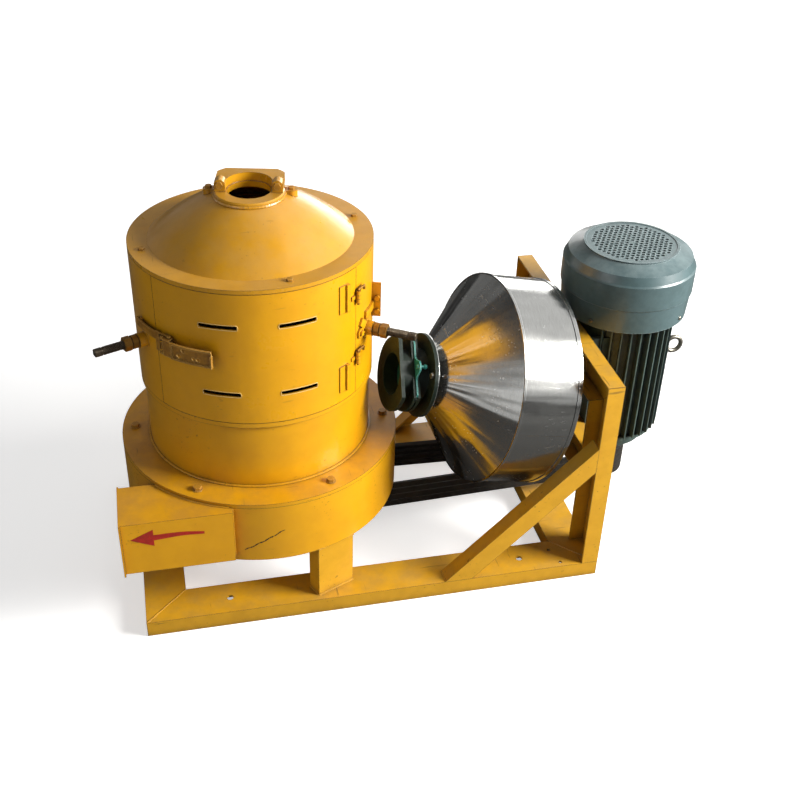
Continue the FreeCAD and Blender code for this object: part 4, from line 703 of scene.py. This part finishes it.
def domed(centre, direction, radius, tall, sides=20, slot=0.0):
    # screw head: radius r sin(v), height tall cos(v); a cross is pressed into the middle
    out = unit(np.asarray(direction, float))
    helper = np.array([0, 0, 1.0]) if abs(out[2]) < 0.9 else np.array([1.0, 0, 0])
    side = unit(np.cross(helper, out))
    up = np.cross(out, side)
    t = np.linspace(0, 2 * np.pi, sides, endpoint=False)
    v = np.concatenate([[0.0], np.linspace(0, 1, 9)[:-1], [0.995]])
    ring = radius * np.sqrt(np.clip(1 - v ** 2, 0, 1))
    rise = tall * v
    rise[0], ring[0] = -0.001, radius
    deep = slot * np.exp(-(ring[:, None] / (0.45 * radius)) ** 2) * (0.5 + 0.5 * np.cos(4 * t[None])) ** 2
    grid = np.asarray(centre) + ring[:, None, None] * (side * np.cos(t)[None, :, None] + up * np.sin(t)[None, :, None])
    return (grid + (rise[:, None] - deep)[..., None] * out)[:, :], True


screwLook = {"motor": (0.560, 0.0), "coverRadius": 0.1606, "coverLow": 0.618, "coverAngles": (38, 128, 218, 308),
             "boxFront": 0.178, "boxHalf": 0.052, "boxLow": 0.434, "boxHigh": 0.556}


def buildScrews():
    look = screwLook
    cx, cy = look["motor"]
    heads = []
    for angle in look["coverAngles"]:
        a = math.radians(angle)
        out = (math.cos(a), math.sin(a), 0)
        heads.append(domed((cx + look["coverRadius"] * out[0], cy + look["coverRadius"] * out[1], look["coverLow"]),
                           out, 0.0052, 0.0030, slot=0.0012))
    for x in (-look["boxHalf"], look["boxHalf"]):
        for z in (look["boxLow"], look["boxHigh"]):
            heads.append(domed((cx + x, look["boxFront"], z), (0, 1, 0), 0.0042, 0.0024, slot=0.0010))
    makePiece("coverScrews", heads, "machine", "zincPlate")


slotLook = {"radius": 0.2792, "half": 0.038, "bulge": 0.0062, "angles": (-22.5, 13.5), "heights": (0.615, 0.785), "wire": 0.0011}


def buildSlotLips():
    # the pressed edge round each slot: a stadium wrapped on the wall, point = around(angle + s / radius, z)
    look = slotLook
    t = np.linspace(0, 2 * np.pi, 120, endpoint=False)
    across = look["half"] * np.clip(1.6 * np.cos(t), -1, 1) + look["bulge"] * np.where(np.abs(np.cos(t)) > 0.625, np.cos(t), 0)
    rise = look["bulge"] * np.clip(1.25 * np.sin(t), -1, 1)
    parts = []
    for z in look["heights"]:
        for angle in look["angles"]:
            path = around(angle + np.degrees(across / look["radius"]), look["radius"], z + rise)
            parts.append((carry(path, look["wire"], 8, True), False))
    # the lips wear the paler rim paint, a painted highlight round each slot
    makePiece("doorSlotLips", parts, "door", "rimHighlightPaint")


scratchLook = {"angles": (-14.0, 2.0), "heights": (0.222, 0.277), "radius": 0.3422, "wide": 0.0018, "thick": 0.00015}


def buildScratch():
    # a scrape down to the primer: a thin band up the drum's wall whose half width w(u) swells and closes at random
    look = scratchLook
    rng = np.random.default_rng(7)
    u = np.linspace(0, 1, 260)
    angle = look["angles"][0] + (look["angles"][1] - look["angles"][0]) * u
    height = look["heights"][0] + (look["heights"][1] - look["heights"][0]) * u + 0.0010 * np.sin(u * 23)
    jitter = np.convolve(rng.uniform(0, 1, len(u) + 6), np.ones(7) / 7, "valid")
    half = look["wide"] * np.clip(jitter * 3.2 - 0.9, 0.06, 1.2)
    inner, outer = look["radius"] - 0.0010, look["radius"] + look["thick"]
    rows = [around(angle, r, height + side * half) for side, r in ((-1, inner), (-1, outer), (1, outer), (1, inner))]
    makePiece("drumScratch", [(np.stack(rows, 1)[:, ::-1], True)], "machine", "primerPaint", smooth=False)


buildFrameWelds()
buildDrumWelds()
print("welds laid")
buildRods()
buildArrow()
buildScrews()
buildSlotLips()
buildScratch()
print("rods, arrow, screws, slot lips and scratch made")


# ---- floor, light and camera

stageLook = {"pale": 0.86, "glow": 0.52, "farGlow": 0.98, "near": 1.3, "far": 5.5, "bounce": 0.42, "mirrored": 0.10,
             "fill": 0.14, "rightFrom": 0.30, "rightTo": 0.46, "leftFrom": 0.60, "leftTo": 0.74, "backFrom": 0.45, "backTo": 0.80, "back": 0.30,
             "stripTop": 0.12, "strip": 0.95, "wall": 0.32, "wallTop": 0.40, "streak": 0.12,
             "cloud": 5.0, "dark": 0.04}


def rayKinds(tree):
    # seen directly or through glass; seen in a reflection
    path = place(tree, "LightPath")
    seen = math2(tree, "MAXIMUM", path.outputs["Is Camera Ray"], path.outputs["Is Transmission Ray"])
    return seen, path.outputs["Is Glossy Ray"]


def buildStage():
    # a pale flat floor that glows a little to the eye, more with distance; it throws back less light than it shows
    look = stageLook
    bpy.ops.mesh.primitive_plane_add(size=40, location=(0, 0, -0.0005))
    floor = bpy.context.object
    floor.name = "studioFloor"
    material = bpy.data.materials.new("studioFloor")
    material.use_nodes = True
    tree = material.node_tree
    tree.nodes.clear()
    seen, mirrored = rayKinds(tree)
    away = place(tree, "VectorMath", {"operation": "LENGTH"})
    feed(tree, place(tree, "NewGeometry").outputs["Position"], away.inputs[0])
    glow = ramp(tree, away.outputs["Value"], look["near"], look["far"], look["glow"], look["farGlow"])
    tone = math2(tree, "MULTIPLY_ADD", seen, look["pale"] - look["bounce"], look["bounce"])
    tone = math2(tree, "MULTIPLY_ADD", mirrored, look["mirrored"] - look["bounce"], tone)
    colour = place(tree, "CombineColor")
    for index in range(3):
        feed(tree, tone, colour.inputs[index])
    matte = place(tree, "BsdfDiffuse")
    feed(tree, colour.outputs[0], matte.inputs["Color"])
    shine = place(tree, "Emission", None, Color=(1, 1, 1, 1))
    feed(tree, math2(tree, "MULTIPLY", glow, seen), shine.inputs["Strength"])
    both = place(tree, "AddShader")
    tree.links.new(matte.outputs[0], both.inputs[0])
    tree.links.new(shine.outputs[0], both.inputs[1])
    tree.links.new(both.outputs[0], place(tree, "OutputMaterial").inputs[0])
    floor.data.materials.append(material)
    # round it a white room; reflections see it dark but for a cloudy panel on the right and a streaky one on the left
    world = bpy.data.worlds.new("studioWorld")
    bpy.context.scene.world = world
    world.use_nodes = True
    tree = world.node_tree
    tree.nodes.clear()
    seen, mirrored = rayKinds(tree)
    toward = place(tree, "TexCoord").outputs["Generated"]
    way = place(tree, "SeparateXYZ")
    feed(tree, toward, way.inputs[0])
    right = ramp(tree, way.outputs["X"], look["rightFrom"], look["rightTo"])
    left = ramp(tree, way.outputs["X"], -look["leftFrom"], -look["leftTo"])
    cloud = ramp(tree, noise(tree, toward, look["cloud"], 3.0), 0.38, 0.58)
    streak = ramp(tree, noise(tree, toward, look["cloud"] * 3.4, 3.0), 0.42, 0.55)
    back = ramp(tree, way.outputs["Y"], look["backFrom"], look["backTo"], 0.0, look["back"])
    panel = math2(tree, "MULTIPLY", right, math2(tree, "MULTIPLY_ADD", cloud, 0.35, 0.65))
    panel = math2(tree, "ADD", panel, math2(tree, "MULTIPLY", back, streak))
    strip = ramp(tree, way.outputs["Z"], look["stripTop"], look["stripTop"] + 0.06, look["strip"], look["wall"])
    strip = math2(tree, "MULTIPLY", strip, ramp(tree, way.outputs["Z"], look["wallTop"], look["wallTop"] + 0.12, 1.0, 0.0))
    strip = math2(tree, "MULTIPLY_ADD", streak, look["streak"], strip)
    panel = math2(tree, "ADD", panel, math2(tree, "MULTIPLY", left, strip))
    panel = math2(tree, "ADD", panel, look["dark"])
    plain = math2(tree, "MULTIPLY_ADD", seen, 1.0 - look["fill"], look["fill"])
    strength = math2(tree, "MULTIPLY", math2(tree, "SUBTRACT", 1.0, mirrored), plain)
    strength = math2(tree, "MULTIPLY_ADD", mirrored, panel, strength)
    room = place(tree, "Background", None, Color=(1, 1, 1, 1))
    feed(tree, strength, room.inputs["Strength"])
    tree.links.new(room.outputs[0], place(tree, "OutputWorld").inputs[0])


lamps = {
    "keyLamp": {"at": (3.3, -1.6, 2.25), "size": (1.8, 1.5), "power": 340.0, "colour": (1.0, 0.985, 0.955)},
    "fillLamp": {"at": (-3.0, -2.4, 2.2), "size": (2.0, 2.0), "power": 19.0, "colour": (0.95, 0.97, 1.0)},
    "topLamp": {"at": (0.6, 0.9, 3.4), "size": (3.0, 1.4), "power": 9.0, "colour": (1.0, 1.0, 1.0)},
    "backLamp": {"at": (1.3, 3.4, 1.2), "size": (2.4, 1.4), "power": 36.0, "colour": (1.0, 0.99, 0.97)},
}


def buildLamps():
    for name, lamp in lamps.items():
        data = bpy.data.lights.new(name, "AREA")
        data.shape = "RECTANGLE"
        data.size, data.size_y = lamp["size"]
        data.energy = lamp["power"]
        data.color = lamp["colour"]
        item = bpy.data.objects.new(name, data)
        item.location = lamp["at"]
        item.rotation_mode = "QUATERNION"
        item.rotation_quaternion = (Vector((0, 0, 0.4)) - Vector(lamp["at"])).to_track_quat("-Z", "Y")
        bpy.context.scene.collection.objects.link(item)


eye = {"at": (-0.6060, -2.3619, 2.0065), "yaw": 13.9, "pitch": -33.9, "roll": 1.9, "lens": 50.97}


def buildCamera():
    # looks along yaw and pitch, then rolls about the line of sight
    yaw, pitch, roll = (math.radians(eye[key]) for key in ("yaw", "pitch", "roll"))
    ahead = Vector((math.sin(yaw) * math.cos(pitch), math.cos(yaw) * math.cos(pitch), math.sin(pitch)))
    right = Vector((math.cos(yaw), -math.sin(yaw), 0))
    up = right.cross(ahead)
    right, up = right * math.cos(roll) + up * math.sin(roll), up * math.cos(roll) - right * math.sin(roll)
    data = bpy.data.cameras.new("viewCamera")
    data.lens = eye["lens"]
    data.sensor_width = 36.0
    data.clip_end = 100.0
    camera = bpy.data.objects.new("viewCamera", data)
    turn = Matrix((right, up, -ahead)).transposed().to_4x4()
    camera.matrix_world = Matrix.Translation(eye["at"]) @ turn
    bpy.context.scene.collection.objects.link(camera)
    bpy.context.scene.camera = camera


buildStage()
buildLamps()
buildCamera()
bpy.context.scene.view_settings.view_transform = "Standard"
print("stage, lamps and camera set")
